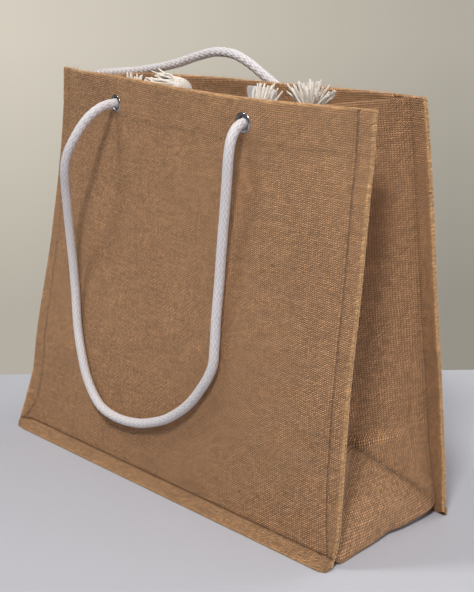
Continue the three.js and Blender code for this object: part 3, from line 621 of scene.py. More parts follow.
def plain_weave_group():
    """Plain weave of twisted threads: slanted floats of the level threads, between floats of the upright."""
    numbers = {
        "Pitch across": 0.002, "Pitch up": 0.0016, "Level thread tilt": 0.0, "Slant": 0.0,
        "Unevenness": 0.0003,
    }
    tree, given, out = new_group("Plain weave", numbers, ["Height", "Thread tone", "Upright"])
    flat, pitch_across, pitch_up, tilt, slant, unevenness = given
    far = add_node(tree, "VectorMath", {0: flat, 1: (3.1, 1.7, 0)}, operation="ADD")
    sway, sway_up = ((vector.noise(45.0, 2.0) - 0.5) * unevenness for vector in (flat, far))
    x, y, _ = flat.parts()
    a = (x + sway) / pitch_across
    b = (y + x * tilt + sway_up) / pitch_up
    rising = a + b
    falling = a - b

    def from_float(shift_rising, shift_falling):
        """Distances across and up from the middle of the nearest float of a thread."""
        rise = (rising + shift_rising).math("FLOORED_MODULO", 2.0)
        fall = (falling + shift_falling).math("FLOORED_MODULO", 2.0)
        return (rise + fall) * 0.5 - 1.0, (rise - fall) * 0.5

    def dome(off, along, reach, top):
        """Height of a float at distances off and along its thread."""
        squares = [part.math("ABSOLUTE").math("POWER", 2.0) for part in (off / 0.43, along / reach)]
        return rest_of(squares[0] + squares[1]).math("MAXIMUM", 0.0) * top

    def tone(across, up, seed):
        """Random number that is the same all over one float."""
        middle = {0: (a - across).math("FLOOR") + seed, 1: (b - up).math("FLOOR")}
        place = add_node(tree, "CombineXYZ", middle)
        return add_node(tree, "TexWhiteNoise", {"Vector": place}, "Value", noise_dimensions="2D")

    level_across, level_up = from_float(0.0, 1.0)
    upright_across, upright_up = from_float(1.0, 0.0)
    level = dome(level_up - level_across * slant, level_across, 0.72, 1.0)
    upright = dome(upright_across - upright_up * slant, upright_up, 0.68, 0.95)
    on_top = upright.math("GREATER_THAN", level)
    upright_tone = tone(upright_across, upright_up, 0.37) * on_top
    level_tone = tone(level_across, level_up, 57.3) * rest_of(on_top)
    feed(out["Height"], upright.math("MAXIMUM", level))
    feed(out["Thread tone"], upright_tone + level_tone)
    feed(out["Upright"], on_top)
    return tree


def braid_group():
    """Diamond braid round a rope, read from a UV map that is round and along it in diameters."""
    tree, given, out = new_group("Diamond braid", {"Strands": 6.0, "Lay": 1.0}, ["Height"])
    flat, strands, lay = given
    x, y, _ = flat.parts()
    around = x * strands
    along = y * lay
    a = around + along
    b = around - along
    odd = (a.math("FLOOR") + b.math("FLOOR")).math("FLOORED_MODULO", 2.0)
    hump_a, hump_b = ((way * math.pi).math("SINE").math("ABSOLUTE") for way in (a, b))
    feed(out["Height"], hump_a * odd + hump_b * rest_of(odd))
    return tree


GROUPS = {"Plain weave": plain_weave_group, "Diamond braid": braid_group}


def place_group(name, vector, **numbers):
    """Outputs of the named group, by their names. The group is made the first time that it is placed."""
    node = vector.tree.nodes.new("ShaderNodeGroup")
    node.node_tree = bpy.data.node_groups.get(name) or GROUPS[name]()
    feed(node.inputs["Vector"], vector)
    for label, number in numbers.items():
        feed(node.inputs[label.replace("_", " ")], number)
    return {socket.name: Signal(socket) for socket in node.outputs}


def new_material(name, roughness, **values):
    """Material with plain values set on its shader, and that shader."""
    material = bpy.data.materials.new(name)
    material.use_nodes = True
    shader = material.node_tree.nodes["Principled BSDF"]
    shader.inputs["Roughness"].default_value = roughness
    for label, value in values.items():
        shader.inputs[label.replace("_", " ")].default_value = value
    return material, shader


def paint(shader, tint, rough=None, relief=None, depth=0.0):
    """Feeds the shader its colour, its roughness and a bump whose depth is in metres."""
    feed(shader.inputs["Base Color"], tint)
    if rough:
        feed(shader.inputs["Roughness"], rough)
    if relief:
        bump = {"Strength": 1.0, "Distance": depth, "Height": relief}
        feed(shader.inputs["Normal"], add_node(relief.tree, "Bump", bump))


def uv_vector(tree, name):
    return add_node(tree, "UVMap", uv_map=name)


def object_vector(tree):
    return add_node(tree, "TexCoord", output="Object")


def jute_material(name, tilt):
    """Jute cloth in a plain weave, with uneven threads, dark flecks, pale fuzzy edges and painted shade on
    its seams, creases and fins.
    """
    tints = colours()
    material, shader = new_material(
        name, 0.86, Sheen_Weight=0.12, Sheen_Roughness=0.5, Sheen_Tint=tints.jute_pale,
    )
    tree = material.node_tree
    flat = uv_vector(tree, "Cloth")
    weave = place_group(
        "Plain weave", flat, Pitch_across=sizes().thread_across, Pitch_up=sizes().thread_up,
        Level_thread_tilt=tilt, Slant=0.55, Unevenness=0.0014,
    )
    # The second mask marks where shade is painted into the colour: seams, creases, the hem line and the
    # bottom fin.
    rim, painted_shade = (add_node(tree, "Attribute", (), "Fac", attribute_name=mask) for mask in ("Rim", "Groove"))
    face = mix(rim.spread(0.1, 1.0, 0.0, 0.85), tints.jute, tints.jute_rim)
    body = mix((weave["Height"] + rim * 0.35).spread(0.1, 0.64, 0.0, 1.0), tints.jute_dark, face)
    light = weave["Thread tone"].spread(0.0, 1.0, 0.76, 1.24)
    for cloud, change in (
        (flat.stretched((38, 640, 1)).noise(1.0, 2.0), 0.15),
        (flat.stretched((520, 34, 1)).noise(1.0, 2.0), 0.08),
        (flat.noise(16.0, 3.0), 0.05),
        (flat.noise(300.0, 3.0), 0.09),
    ):
        light = light * cloud.spread(0.3, 0.7, 1 - change, 1 + change)
    # Painted shade: where that mask is full, the colour is darkened to 36 per cent of itself.
    light = light * weave["Upright"].spread(0.0, 1.0, 1.04, 0.94) * painted_shade.spread(0.0, 1.0, 1.0, 0.36)
    pale = flat.noise(420.0, 2.0, 0.7).spread(0.60, 0.72, 0.0, 0.4)
    fleck = flat.noise(170.0, 1.0, 0.4).spread(0.75, 0.79, 0.0, 0.7)
    spotted = mix(fleck, mix(pale, dimmed(body, light), tints.jute_pale), tints.jute_dark)
    fuzz = flat.noise(1500.0, 2.0, 0.6) * 0.22
    paint(shader, spotted, weave["Height"].spread(0.0, 1.0, 0.95, 0.8), weave["Height"] + fuzz, 0.0006)
    return material


def cotton_material(name, braided):
    """White cotton of the rope: braided with shaded grooves, or loose yarns."""
    tints = colours()
    material, shader = new_material(name, 0.82, Sheen_Weight=0.2, Sheen_Roughness=0.4)
    soft = object_vector(material.node_tree).noise(900.0, 3.0, 0.6)
    if braided:
        flat = uv_vector(material.node_tree, "Braid")
        braid = place_group("Diamond braid", flat, Strands=sizes().braid_strands, Lay=BRAID_LAY)["Height"]
        # Painted shade: the low parts of the braid take the darker colour.
        tint = mix(braid.spread(0.0, 0.6, 0.0, 1.0), tints.cotton_painted_shade, tints.cotton)
        relief = braid + soft * 0.4
    else:
        tint = mix(soft.spread(0.35, 0.6, 0.0, 1.0), tints.yarn_shade, tints.yarn)
        relief = soft
    paint(shader, tint, soft.spread(0.3, 0.7, 0.9, 0.75), relief, 0.0003)
    return material


def label_material(name):
    """Close white weave of the tag."""
    tints = colours()
    material, shader = new_material(name, 0.6)
    flat = uv_vector(material.node_tree, "Cloth")
    threads = {"Pitch_across": 0.0004, "Pitch_up": 0.0005, "Unevenness": 0.0001}
    weave = place_group("Plain weave", flat, **threads)["Height"]
    base = mix(flat.noise(90.0, 3.0).spread(0.3, 0.7, 0.0, 0.25), tints.label, tints.label_soiled)
    tint = mix(weave.spread(0.0, 0.6, 0.35, 0.0), base, tints.label_shade)
    paint(shader, tint, weave.spread(0.0, 1.0, 0.7, 0.5), weave, 0.0001)
    return material


def mottled_material(name, tints, grain, tinting, roughness, rough, depth=0.0, metallic=0.0):
    """Plain material whose colour, roughness and fine relief follow one noise."""
    material, shader = new_material(name, roughness, Metallic=metallic)
    mottle = object_vector(material.node_tree).noise(*grain)
    tint = mix(mottle.spread(*tinting), *tints)
    paint(shader, tint, mottle.spread(0.3, 0.7, *rough), mottle if depth else None, depth)
    return material


def metal_material(name):
    """Bright pressed metal with fine wear."""
    tints = (colours().metal, colours().metal_worn)
    worn = (0.35, 0.7, 0.0, 0.35)
    return mottled_material(name, tints, (700.0, 4.0, 0.6), worn, 0.22, (0.12, 0.26), 0.00004, 1.0)


def thread_material(name):
    """Jute-coloured sewing thread, twisted."""
    tints = (colours().jute_dark, colours().jute_pale)
    return mottled_material(name, tints, (1600.0, 2.0), (0.35, 0.65, 0.0, 1.0), 0.7, (0.8, 0.6), 0.0001)


def fibre_material(name):
    """Loose jute fibres."""
    tints = (colours().jute, colours().jute_pale)
    return mottled_material(name, tints, (350.0, 2.0), (0.35, 0.65, 0.0, 1.0), 0.75, (0.85, 0.7))


def floor_material(name):
    """Pale woven cloth of the table."""
    tints = colours()
    material, shader = new_material(name, 0.8)
    place = object_vector(material.node_tree)
    threads = {"Pitch_across": 0.0011, "Pitch_up": 0.0012, "Unevenness": 0.001}
    weave = place_group("Plain weave", place, **threads)["Height"]
    tint = mix(weave.spread(0.1, 0.8, 0.0, 1.0), tints.floor_shade, tints.floor)
    paint(shader, tint, relief=weave, depth=0.00015)
    return material


MATERIALS = {
    "Jute cloth": lambda name: jute_material(name, 0.05),
    "Gusset cloth": lambda name: jute_material(name, 0.02),
    "Braided cotton": lambda name: cotton_material(name, True),
    "Loose cotton": lambda name: cotton_material(name, False),
    "Label cloth": label_material,
    "Eyelet metal": metal_material,
    "Seam thread": thread_material,
    "Loose jute fibre": fibre_material,
    "Pale table cloth": floor_material,
}


def material_of(name):
    """The material of that name, made the first time that it is asked for."""
    return bpy.data.materials.get(name) or MATERIALS[name](name)


# Rope


def spaced_route(route):
    """Points on a smooth curve through a route, in millimetres, evenly spaced, and the way gone at each."""
    points = np.array(route, float)
    reached = np.concatenate([[0], np.cumsum(np.sqrt(np.linalg.norm(np.diff(points, axis=0), axis=1)))])
    fine = on_curve(reached, points, np.linspace(0, reached[-1], 3000))
    along = travelled_along(fine)
    marks = np.linspace(0, along[-1], int(round(along[-1] / ROPE_STEP)) + 1)
    line = np.stack([np.interp(marks, along, fine[:, axis]) for axis in range(3)], axis=1)
    return line, marks


def rings_round(line, angle, reach):
    """Rings of points round a line, which are carried along it without twist."""
    ways = unit(np.gradient(line, axis=0))
    side = np.cross(ways[0], (0.3, 0.2, 0.93))
    side /= np.linalg.norm(side)
    sides = []
    for way in ways:
        side = side - way * side.dot(way)
        side = side / np.linalg.norm(side)
        sides.append(side)
    ups = np.cross(ways, sides)
    across = np.array(sides)[:, None] * (np.cos(angle) * reach)[..., None]
    return line[:, None] + across + ups[:, None] * (np.sin(angle) * reach)[..., None]


def rope_piece(name, line, marks, radius, around, relief, closed=False):
    """Tube of rope along a line, its surface raised in a diamond braid, with a UV map round and along it."""
    turns = np.arange(around + 1) / around
    diameters = marks[:, None] / (2 * radius)
    a = turns * sizes().braid_strands + diameters * BRAID_LAY
    b = turns * sizes().braid_strands - diameters * BRAID_LAY
    odd = (np.floor(a) + np.floor(b)) % 2 == 1
    raised = np.abs(np.sin(np.where(odd, a, b) * math.pi))
    points = rings_round(line, 2 * math.pi * turns, radius - relief * (1 - raised))
    uv = np.stack(np.broadcast_arrays(turns, diameters), axis=-1)
    piece = grid_piece(name, points, uv, "Braid")
    weld(piece, 0.00001, fill_ends=not closed)
    shade_smooth(piece, 60)
    return piece


def yarn_tube(line, radii, around):
    """Points and faces of one tapering yarn."""
    rings = rings_round(line, 2 * math.pi * np.arange(around) / around, radii[:, None])
    last = (len(line) - 1) * around
    faces = []
    for here in range(0, last, around):
        for step in range(around):
            after = (step + 1) % around
            faces.append((here + step, here + after, here + around + after, here + around + step))
    faces += [tuple(reversed(range(around))), tuple(range(last, last + around))]
    return rings.reshape(-1, 3), faces


def frayed_yarns(knot, centre, fray, side, back, draw):
    """Points and faces of the yarns of a knot's frayed end, which fan out from it and curl."""
    for index in range(knot.yarns):
        reach = math.sqrt((index + 0.5) / knot.yarns)
        angle = index * math.pi * (3 - math.sqrt(5))
        side_share = reach * math.cos(angle)
        back_share = reach * math.sin(angle)
        behind = knot.start * (1 if knot.start > 0 else math.sqrt(1 - reach**2))
        start = centre + fray * behind + (side * side_share + back * back_share) * knot.spread
        lean = knot.fan[0] * side_share + draw.uniform(-0.07, 0.07)
        tip = knot.fan[1] * back_share + draw.uniform(-0.07, 0.07)
        way = unit(fray * math.cos(lean) + side * math.sin(lean) + back * math.sin(tip))
        length = (knot.length - behind) * draw.uniform(0.74, 1.0)
        swirl = side * draw.uniform(-1, 1) + back * draw.uniform(-1, 1)
        curl = draw.uniform(0.4, 1.4) * knot.curl
        phase = draw.uniform(0, 2 * math.pi)
        share = np.linspace(0, 1, 10)
        ripple = np.sin(share * math.pi * 2.2 + phase) * share * curl
        droop = share**2 * length * 0.08 * side_share
        line = start + way * (share * length)[:, None] + swirl * ripple[:, None] + side * droop[:, None]
        yield yarn_tube(line, knot.thick * (1 - 0.35 * share**4) * draw.uniform(0.8, 1.12), 6)


def knot_piece(knot, draw):
    """Rope wound into a tight three-lobed knot, with its end frayed into yarns."""
    centre = np.array(knot.at, float)
    inward, fray = (unit(np.array(way, float)) for way in (knot.inward, knot.fray))
    side = np.array(knot.across, float)
    side = unit(side - fray * side.dot(fray))
    first = unit(np.cross(inward, side + 0.2 * fray))
    second = np.cross(inward, first)
    t = np.linspace(0, 2 * math.pi, 145)[:, None]
    line = (
        centre
        + first * (np.sin(t) + 2 * np.sin(2 * t)) * KNOT_SIZE
        + second * (np.cos(t) - 2 * np.cos(2 * t)) * KNOT_SIZE
        + inward * np.sin(3 * t) * KNOT_DEPTH
    )
    marks = travelled_along(line)
    turns = marks[-1] / (2 * KNOT_ROPE_RADIUS) * BRAID_LAY
    marks = marks * round(turns) / turns
    piece = rope_piece("Knot." + knot.name, line, marks, KNOT_ROPE_RADIUS, 20, KNOT_RELIEF, closed=True)
    piece.data.materials.append(material_of("Braided cotton"))
    frayed = bundle("frayed", frayed_yarns(knot, centre, fray, side, np.cross(fray, side), draw))
    frayed.data.materials.append(material_of("Loose cotton"))
    activate(piece)
    frayed.select_set(True)
    bpy.ops.object.join()
    dress(piece, None, "cotton_rope", "knot_" + knot.name)
    return piece


# Cloth


def panel_surface(panel, across, height, down):
    """Middle of a panel's cloth at distances across and heights, and at shares down its bottom fin."""
    across, height, down = np.broadcast_arrays(*(np.asarray(part, float) for part in (across, height, down)))
    root = panel.root_height
    height = np.maximum(height, root)
    left, right = (on_curve(panel.section.height, edge, height) for edge in panel.section[1:])
    bow, rise = (on_curve(panel.mouth.across, change, across) for change in panel.mouth[1:])
    share = (across + HALF_WIDTH) / BAG_WIDTH
    height_share = (height - root) / (BAG_HEIGHT - root)
    on_fin = np.clip((np.abs(across) - ROOT_ACROSS) / FIN_WIDTH, 0, 1)
    beside = np.clip((np.abs(across) - HEM_EDGE) / (ROOT_ACROSS - HEM_EDGE), 0, 1)
    low_share = np.maximum(1 - height / FIN_SPREAD_HEIGHT, 0) ** 2

    def of_fin(name):
        """The fin's own value, read at the share down where it has several."""
        values = [getattr(fin, name) for fin in (panel.left_fin, panel.right_fin)]
        if isinstance(values[0], tuple):
            values = [np.interp(down, (0, 0.5, 1), value) for value in values]
        return np.where(across < 0, *values)

    spread = (FIN_SPREAD_AT_ROOT + (of_fin("tip_spread") - FIN_SPREAD_AT_ROOT) * on_fin) * beside
    x = across + np.sign(across) * spread * low_share
    y = left + (right - left) * share + panel.outward * panel.bow_depth * bow * height_share
    z = height + rise * height_share
    turn = np.maximum(1 - z / of_fin("turn_height"), 0) * of_fin("turn_shares")
    y = y + panel.outward * of_fin("turn_depth") * turn * on_fin
    y = y + panel.outward * root * np.tan(panel.flare - of_fin("flare_drop") * on_fin) * down
    z = z - root * down
    inset_share = np.clip(1 - (height - root) / (FIRST_ROW_ABOVE_FIN - root), 0, 1)
    x = x - np.sign(across) * of_fin("corner_inset") * on_fin * inset_share
    return np.stack([x, y, z], axis=-1)


def outward_at(panel, across, height, step):
    """Place on a panel and the way out of the bag there, found with a short step up or down."""
    here = panel_surface(panel, across, height, 0)
    aside = panel_surface(panel, across - np.copysign(step, across), height, 0) - here
    normal = unit(np.cross(aside, panel_surface(panel, across, height + step, 0) - here))
    return here, normal * np.sign(normal[..., 1:2] * panel.outward)


def seam_place(panel, side, height):
    """Distance across at which a side seam runs, at heights up a panel."""
    stray = on_curve(LEFT_SEAM.height, LEFT_SEAM.out, height)
    return side * (ROOT_ACROSS + (stray if panel is FRONT and side < 0 else 0))


def stepped(low, high, fine_zones):
    """Marks from low to high about a cloth step apart, and 1 mm apart in the fine zones."""
    marks = [low]
    while marks[-1] < high - 1e-6:
        here = marks[-1]
        fine = any(start - 1e-6 <= here < end for start, end in fine_zones)
        ahead = [start for start, _ in fine_zones if here < start - 1e-6] + [high]
        marks.append(min(here + (1.0 if fine else sizes().cloth_step / MM), *ahead))
    if marks[-1] - marks[-2] < 0.5:
        marks.pop(-2)
    return np.array(marks)


def trough(across, height, crease):
    """Depth of a soft crease at points across and up a panel."""
    start = np.array(crease.start, float)
    way = np.array(crease.end, float) - start
    length = np.linalg.norm(way)
    way = way / length
    along = (across - start[0]) * way[0] + (height - start[1]) * way[1]
    off = (across - start[0]) * way[1] - (height - start[1]) * way[0]
    fade = np.clip(1 - np.abs(along / length - 0.5) * 2, 0, 1)
    return crease.depth * hump(off, crease.half_width) * fade**2 * (3 - 2 * fade)


def panel_piece(name, panel, creases):
    """A panel's cloth with its fins, its pressed seams and its hem folded inside at the top."""
    root = panel.root_height
    zones = [
        (ROOT_ACROSS - FINE_BESIDE_SEAM, HALF_WIDTH),
        (EYELET_ACROSS - FINE_BESIDE_EYELET, EYELET_ACROSS + FINE_BESIDE_EYELET),
    ]
    zones = [(-end, -start) for start, end in zones] + zones[::-1]
    across = stepped(-HALF_WIDTH, HALF_WIDTH, zones)
    heights = stepped(root, BAG_HEIGHT, [(root, FINE_FOOT), (BAG_HEIGHT - FINE_TOP, BAG_HEIGHT)])
    heights = heights[BAG_HEIGHT - heights > FOLD_ROUND]
    rows = [(root, share, 0.0) for share in np.linspace(1, 0, 10)[:-1]]
    rows += [(height, 0.0, 0.0) for height in heights]
    first_flap_row = len(rows) + 2
    rows += [(BAG_HEIGHT - below, 0.0, inset) for inset, below in FOLD_PATH]
    rows += [(height, 0.0, FOLD_INSET) for height in heights[heights > HEM_LINE][::-1]]
    height, down, inset = np.array(rows).T[..., None]
    points = panel_surface(panel, across, height, down)
    above = panel_surface(panel, across, height + 0.5, np.maximum(down - 0.05, 0)) - points
    below = points - panel_surface(panel, across, height - 1, down)
    right = panel_surface(panel, across + 0.5, height, down) - points
    left = points - panel_surface(panel, across - 0.5, height, down)
    rising = np.where((height > BAG_HEIGHT - 1)[..., None], below, above)
    sideways = np.where((across > HALF_WIDTH - 1)[:, None], left, right)
    outward = unit(np.cross(sideways, rising))
    outward = outward * np.sign(outward[len(rows) // 2, len(across) // 2, 1] * panel.outward)
    seam = sum(hump(across - seam_place(panel, side, height), SEAM_HALF_WIDTH) for side in (-1, 1))
    seam = seam * (down < 0.05)
    base_seam = hump(height - root + down * 12, BASE_SEAM_HALF_WIDTH)
    from_hem_seam = height - HEM_LINE - HEM_SEAM_ABOVE
    press = SEAM_DEPTH * np.maximum(seam, base_seam)
    for crease in creases:
        press = press + trough(across, height, crease)
    press = press + 0.35 * hump(from_hem_seam, 1.6)
    points = points - outward * (inset + press * (inset < 0.1))[..., None]
    travelled = travelled_along(points[:, PLAIN_COLUMN])
    uv = np.stack(np.broadcast_arrays(across, travelled[:, None]), axis=-1) * MM
    tip = hump(HALF_WIDTH - np.abs(across), RIM_WIDTH)
    foot = 0.7 * hump(FIN_WIDTH * (1 - down), 2.0) + 0.3 * (down > 0.05)
    top_fold = hump(np.maximum(BAG_HEIGHT - height, 0), 1.3) * (inset < FOLD_INSET * 0.8)
    # Painted shade: darkening along the side seams, the base seam and the hem seam, and over the whole bottom
    # fin.
    painted_shades = [0.8 * seam, 0.65 * base_seam, 0.22 * hump(from_hem_seam, 1.8), 0.37 * (down > 0.1)]
    piece = grid_piece(
        name, points, uv, Groove=np.clip(np.max(np.broadcast_arrays(*painted_shades), axis=0), 0, 1) * (inset < 0.1),
        Rim=np.clip(np.maximum(np.maximum(tip, foot), top_fold), 0, 1),
    )

    def doomed(centres, numbers):
        """Whether each face is in the hem's flap beyond its ends, or in an eyelet's hole."""
        row, column = np.divmod(numbers, len(across) - 1)
        middle = (across[column] + across[column + 1]) / 2
        gone = (row >= first_flap_row) & (np.abs(middle) > FLAP_EDGE)
        for seat in EYELETS:
            gap = centres - np.array(seat.centre)
            axis = unit(np.array(seat.outward))
            along = gap @ axis
            off = np.linalg.norm(gap - along[:, None] * axis, axis=1)
            if seat.outward[1] * panel.outward > 0:
                gone |= (off < EYELET_CUT) & (np.abs(along) < EYELET_REACH)
        return gone

    delete_faces(piece, doomed)
    thicken(piece, CLOTH, CLOTH_EDGE)
    return piece


def gusset_stations():
    """Places round the gusset: down the left side, along the base and up the right side."""
    low = FIRST_ROW_ABOVE_FIN
    heights = [*np.arange(BAG_HEIGHT, 90, -5.0), *np.arange(90, low, -2.5), low]

    def side_stations(side):
        stations = []
        for height in heights:
            marks = [(side * across, height, 0) for across in (HALF_WIDTH, FIN_MIDDLE, ROOT_ACROSS)]
            stations.append(Station(side, height, 0, marks))
        for edge_share, marks in CORNER_STEPS:
            turned = [(side * across, above, down) for across, above, down in marks]
            stations.append(Station(side, None, edge_share, turned))
        return stations

    base = [
        Station(0, None, 0, [(across, 0, down) for down in (1, 0.5, 0)])
        for across in np.linspace(-HEM_EDGE, HEM_EDGE, 43)
    ]
    return [*side_stations(-1), *base, *reversed(side_stations(1))]


def inside_panel(panel, mark, from_root=True, ease=0.0):
    """Point of the gusset's cloth that lies against the inside of a panel."""
    across, height, down = mark
    if from_root:
        height = panel.root_height + height
    here = panel_surface(panel, across, height, down)
    aside = panel_surface(panel, across - math.copysign(0.5, across), height, down)
    if down > 0:
        above = panel_surface(panel, across, height, down - 0.08)
    elif height > BAG_HEIGHT - 1:
        above = 2 * here - panel_surface(panel, across, height - 0.5, down)
    else:
        above = panel_surface(panel, across, height + 0.5, down)
    normal = unit(np.cross(aside - here, above - here))
    if normal[1] * panel.outward < 0 and abs(normal[1]) > 0.1:
        normal = -normal
    return here - normal * (CLOTH + PIECE_GAP + ease)


def side_cross(side, height, front_root, rear_root, corners, shares):
    """Points across a side of the gusset, folded inwards above its corner triangle."""
    middle = (front_root + rear_root) / 2
    apex_share = (height - BASE_LINE) / (APEX_HEIGHT - BASE_LINE)
    half_gap = (rear_root[1] - front_root[1]) / 2
    depth = math.sqrt(max(GUSSET_HALF_WIDTH**2 - half_gap**2, APEX_INSET**2))
    drop_share = (height - APEX_HEIGHT) / (BAG_HEIGHT - APEX_HEIGHT)
    drop = APEX_DROP + (FOLD_DROP_AT_MOUTH - APEX_DROP) * max(drop_share, 0)
    if apex_share < 1:
        front, rear, apex = corners
        front_crease, rear_crease = (corner + (apex - corner) * apex_share for corner in (front, rear))
    else:
        fold = np.array([side * (ROOT_ACROSS - depth), middle[1], middle[2] - drop])
        front_crease, rear_crease = (fold + (0, gap, 0) for gap in (-FOLD_HALF_GAP, FOLD_HALF_GAP))
    crease_share = max(1 - apex_share, 0.05)
    points = []
    for share in shares:
        between = share / crease_share
        if share < -crease_share - 1e-6:
            point = front_root + (front_crease - front_root) * (share + 1) / (1 - crease_share)
        elif share > crease_share + 1e-6:
            point = rear_root + (rear_crease - rear_root) * (1 - share) / (1 - crease_share)
        else:
            point = front_crease + (rear_crease - front_crease) * (between + 1) / 2
            point[0] += side * BASE_BULGE * max(1 - apex_share, 0) * (1 - between**2)
            if apex_share >= 1:
                point[0] -= side * FOLD_NOSE * (1 - abs(between))
        points.append(point)
    return points


def base_cross(front_root, rear_root, side, edge_share, shares):
    """Points across the base, which sags to the surface it stands on, or across the bend up to a side."""
    points = []
    for share in shares:
        point = front_root + (rear_root - front_root) * (share + 1) / 2
        out, height, seam_share = (on_curve(BASE_EDGE.share, column, share) for column in BASE_EDGE[1:])
        base_height = BASE_CLEARANCE + (point[2] - BASE_CLEARANCE) * seam_share
        point[2] = base_height + (height - base_height) * edge_share
        point[0] += side * out * edge_share
        points.append(point)
    return points


def gusset_corner(side):
    """Front and rear corner and apex of the triangle at the foot of a side of the gusset."""
    across = side * ROOT_ACROSS
    out = (side * CREASE_START, 0, 0)
    front, rear = (inside_panel(panel, (across, 0, 0)) + out for panel in (FRONT, BACK))
    apex = sum(panel_surface(panel, across, APEX_HEIGHT, 0) for panel in (FRONT, BACK)) / 2
    return front, rear, np.array([side * (ROOT_ACROSS - APEX_INSET), apex[1], APEX_HEIGHT - APEX_DROP])


def gusset_piece(name):
    """The one strip of cloth that makes the bag's two sides and its base, with its fins."""
    half = GUSSET_HALF_WIDTH
    shares = sorted([*np.round(np.linspace(-0.95, 0.95, 39), 4), -0.975, 0.975])
    corners = {side: gusset_corner(side) for side in (-1, 1)}
    lines = []
    creases = []
    for side, height, edge_share, marks in gusset_stations():
        on_base = height is None
        ease = CORNER_EASE if edge_share else 0.0
        front = [inside_panel(FRONT, mark, on_base, ease) for mark in marks]
        rear = [inside_panel(BACK, mark, on_base, ease) for mark in marks]
        if on_base:
            cross = base_cross(front[2], rear[2], side, edge_share, shares)
            creases.append((1.0, 0.0))
        else:
            cross = side_cross(side, height, front[2], rear[2], corners[side], shares)
            crease_share = (APEX_HEIGHT - height) / (APEX_HEIGHT - BASE_LINE)
            creases.append((max(crease_share, 0.0), float(crease_share > 0)))
        line = np.array([*front, *cross, *reversed(rear)])
        for tip, inner in ((0, 1), (-1, -2)):
            low = TIP_ABOVE_FLOOR - line[tip][2]
            if low > 0:
                slide = line[inner] - line[tip]
                line[tip] += slide * np.clip(low / max(slide[2], 1e-3), 0, 0.9)
        lines.append(line)
    grid = np.array(lines)
    travelled = travelled_along(grid[:, 2], least=1.0)
    marks = np.linspace(0, travelled[-1], GUSSET_ROWS)
    grid = on_curve(travelled, grid, marks)
    creases = [np.interp(marks, travelled, values)[:, None] for values in zip(*creases)]
    crease_centre, crease_strength = creases
    fin = np.array([0, FIN_WIDTH / 2, FIN_WIDTH])
    places = np.array([*fin, *(FIN_WIDTH + half * (1 + np.array(shares))), *(fin + FIN_WIDTH + 2 * half)])
    finer = []
    for place, after in zip(places[:-1], places[1:]):
        parts = 4 if after - place > 5 else 2
        finer.extend(place + (after - place) * part / parts for part in range(parts))
    finer = np.array([*finer, places[-1]])
    rows = [[np.interp(finer, places, row[:, axis]) for axis in range(3)] for row in grid]
    columns = np.array(rows).transpose(0, 2, 1)
    for _ in range(3):
        columns[:, 1:-1] = (columns[:, :-2] + 2 * columns[:, 1:-1] + columns[:, 2:]) / 4
    share = (finer - FIN_WIDTH) / half - 1
    creased = hump((np.abs(share) - crease_centre) * half, CREASE_HALF_WIDTH) * np.sqrt(crease_strength)
    creased = creased * np.where(share < 0, FRONT_CREASE_SHARE, 1.0) * (np.abs(share) < 0.97)
    columns[..., 0] -= np.sign(columns[..., 0]) * CREASE_DEPTH * creased
    uv = np.stack(np.broadcast_arrays(finer, marks[:, None]), axis=-1) * MM
    from_tip = np.minimum(finer, places[-1] - finer)
    # Painted shade beside the fin seams and along the pressed creases of the corner triangles.
    piece = grid_piece(
        name, columns, uv, Groove=np.maximum(0.45 * hump(from_tip - FIN_WIDTH - 0.5, 1.5), 0.7 * creased),
        Rim=hump(from_tip, RIM_WIDTH),
    )
    thicken(piece, CLOTH, CLOTH_EDGE)
    return piece


# Metal and small parts


def eyelet_piece():
    """Ring of an eyelet, spun from its section: a domed flange, a bore and a flat washer inside."""
    inner, outer = sizes().eyelet_inner / MM, sizes().eyelet_outer / MM
    face = CLOTH / 2 + PIECE_GAP
    back = CLOTH * 1.5 + PIECE_GAP
    section = [
        (inner, -back - 0.4), (inner + 0.4, -back - 0.9), (outer - 0.6, -back - 0.7), (outer, -back - 0.35),
        (outer, -back), (inner + 0.6, -back), (inner + 0.6, face), (outer, face), (outer, face + 0.25),
        (outer - 0.35, face + 0.7), (outer - 1.2, face + 1.1), (outer - 2.2, face + 1.05),
        (inner + 0.6, face + 0.75), (inner + 0.12, face + 0.2), (inner, face - 0.5),
    ]
    count = len(section)
    edges = [(index, (index + 1) % count) for index in range(count)]
    piece = mesh_piece("Eyelet", [(radius, 0, -along) for radius, along in section], edges, [])
    activate(piece)
    bpy.ops.object.mode_set(mode="EDIT")
    bpy.ops.mesh.select_all(action="SELECT")
    bpy.ops.mesh.spin(steps=48, angle=2 * math.pi, center=(0, 0, 0), axis=(0, 0, 1))
    weld(piece, 0.000005)
    shade_smooth(piece, 50)
    return piece


def label_piece():
    """Small tag with rounded corners, lying on the inside of the back panel's hem."""
    across, height = np.meshgrid(
        np.linspace(LABEL_LEFT, LABEL_RIGHT, 31), np.linspace(LABEL_BOTTOM, LABEL_TOP, 23),
    )
    centre_x = np.clip(across, LABEL_LEFT + LABEL_CORNER, LABEL_RIGHT - LABEL_CORNER)
    centre_z = np.clip(height, LABEL_BOTTOM + LABEL_CORNER, LABEL_TOP - LABEL_CORNER)
    gone_x, gone_z = np.abs(across - centre_x), np.abs(height - centre_z)
    corner = (gone_x > 0) & (gone_z > 0)
    rounding = np.maximum(gone_x, gone_z) / np.maximum(np.hypot(gone_x, gone_z), 1e-6)
    across = np.where(corner, centre_x + (across - centre_x) * rounding, across)
    height = np.where(corner, centre_z + (height - centre_z) * rounding, height)
    here, outward = outward_at(BACK, across, height, -0.5)
    points = here - outward * (CLOTH * 1.5 + 2 * PIECE_GAP)
    piece = grid_piece("Label", points, np.stack([across, height], axis=-1) * MM)
    thicken(piece, LABEL_THICKNESS, LABEL_EDGE)
    return piece


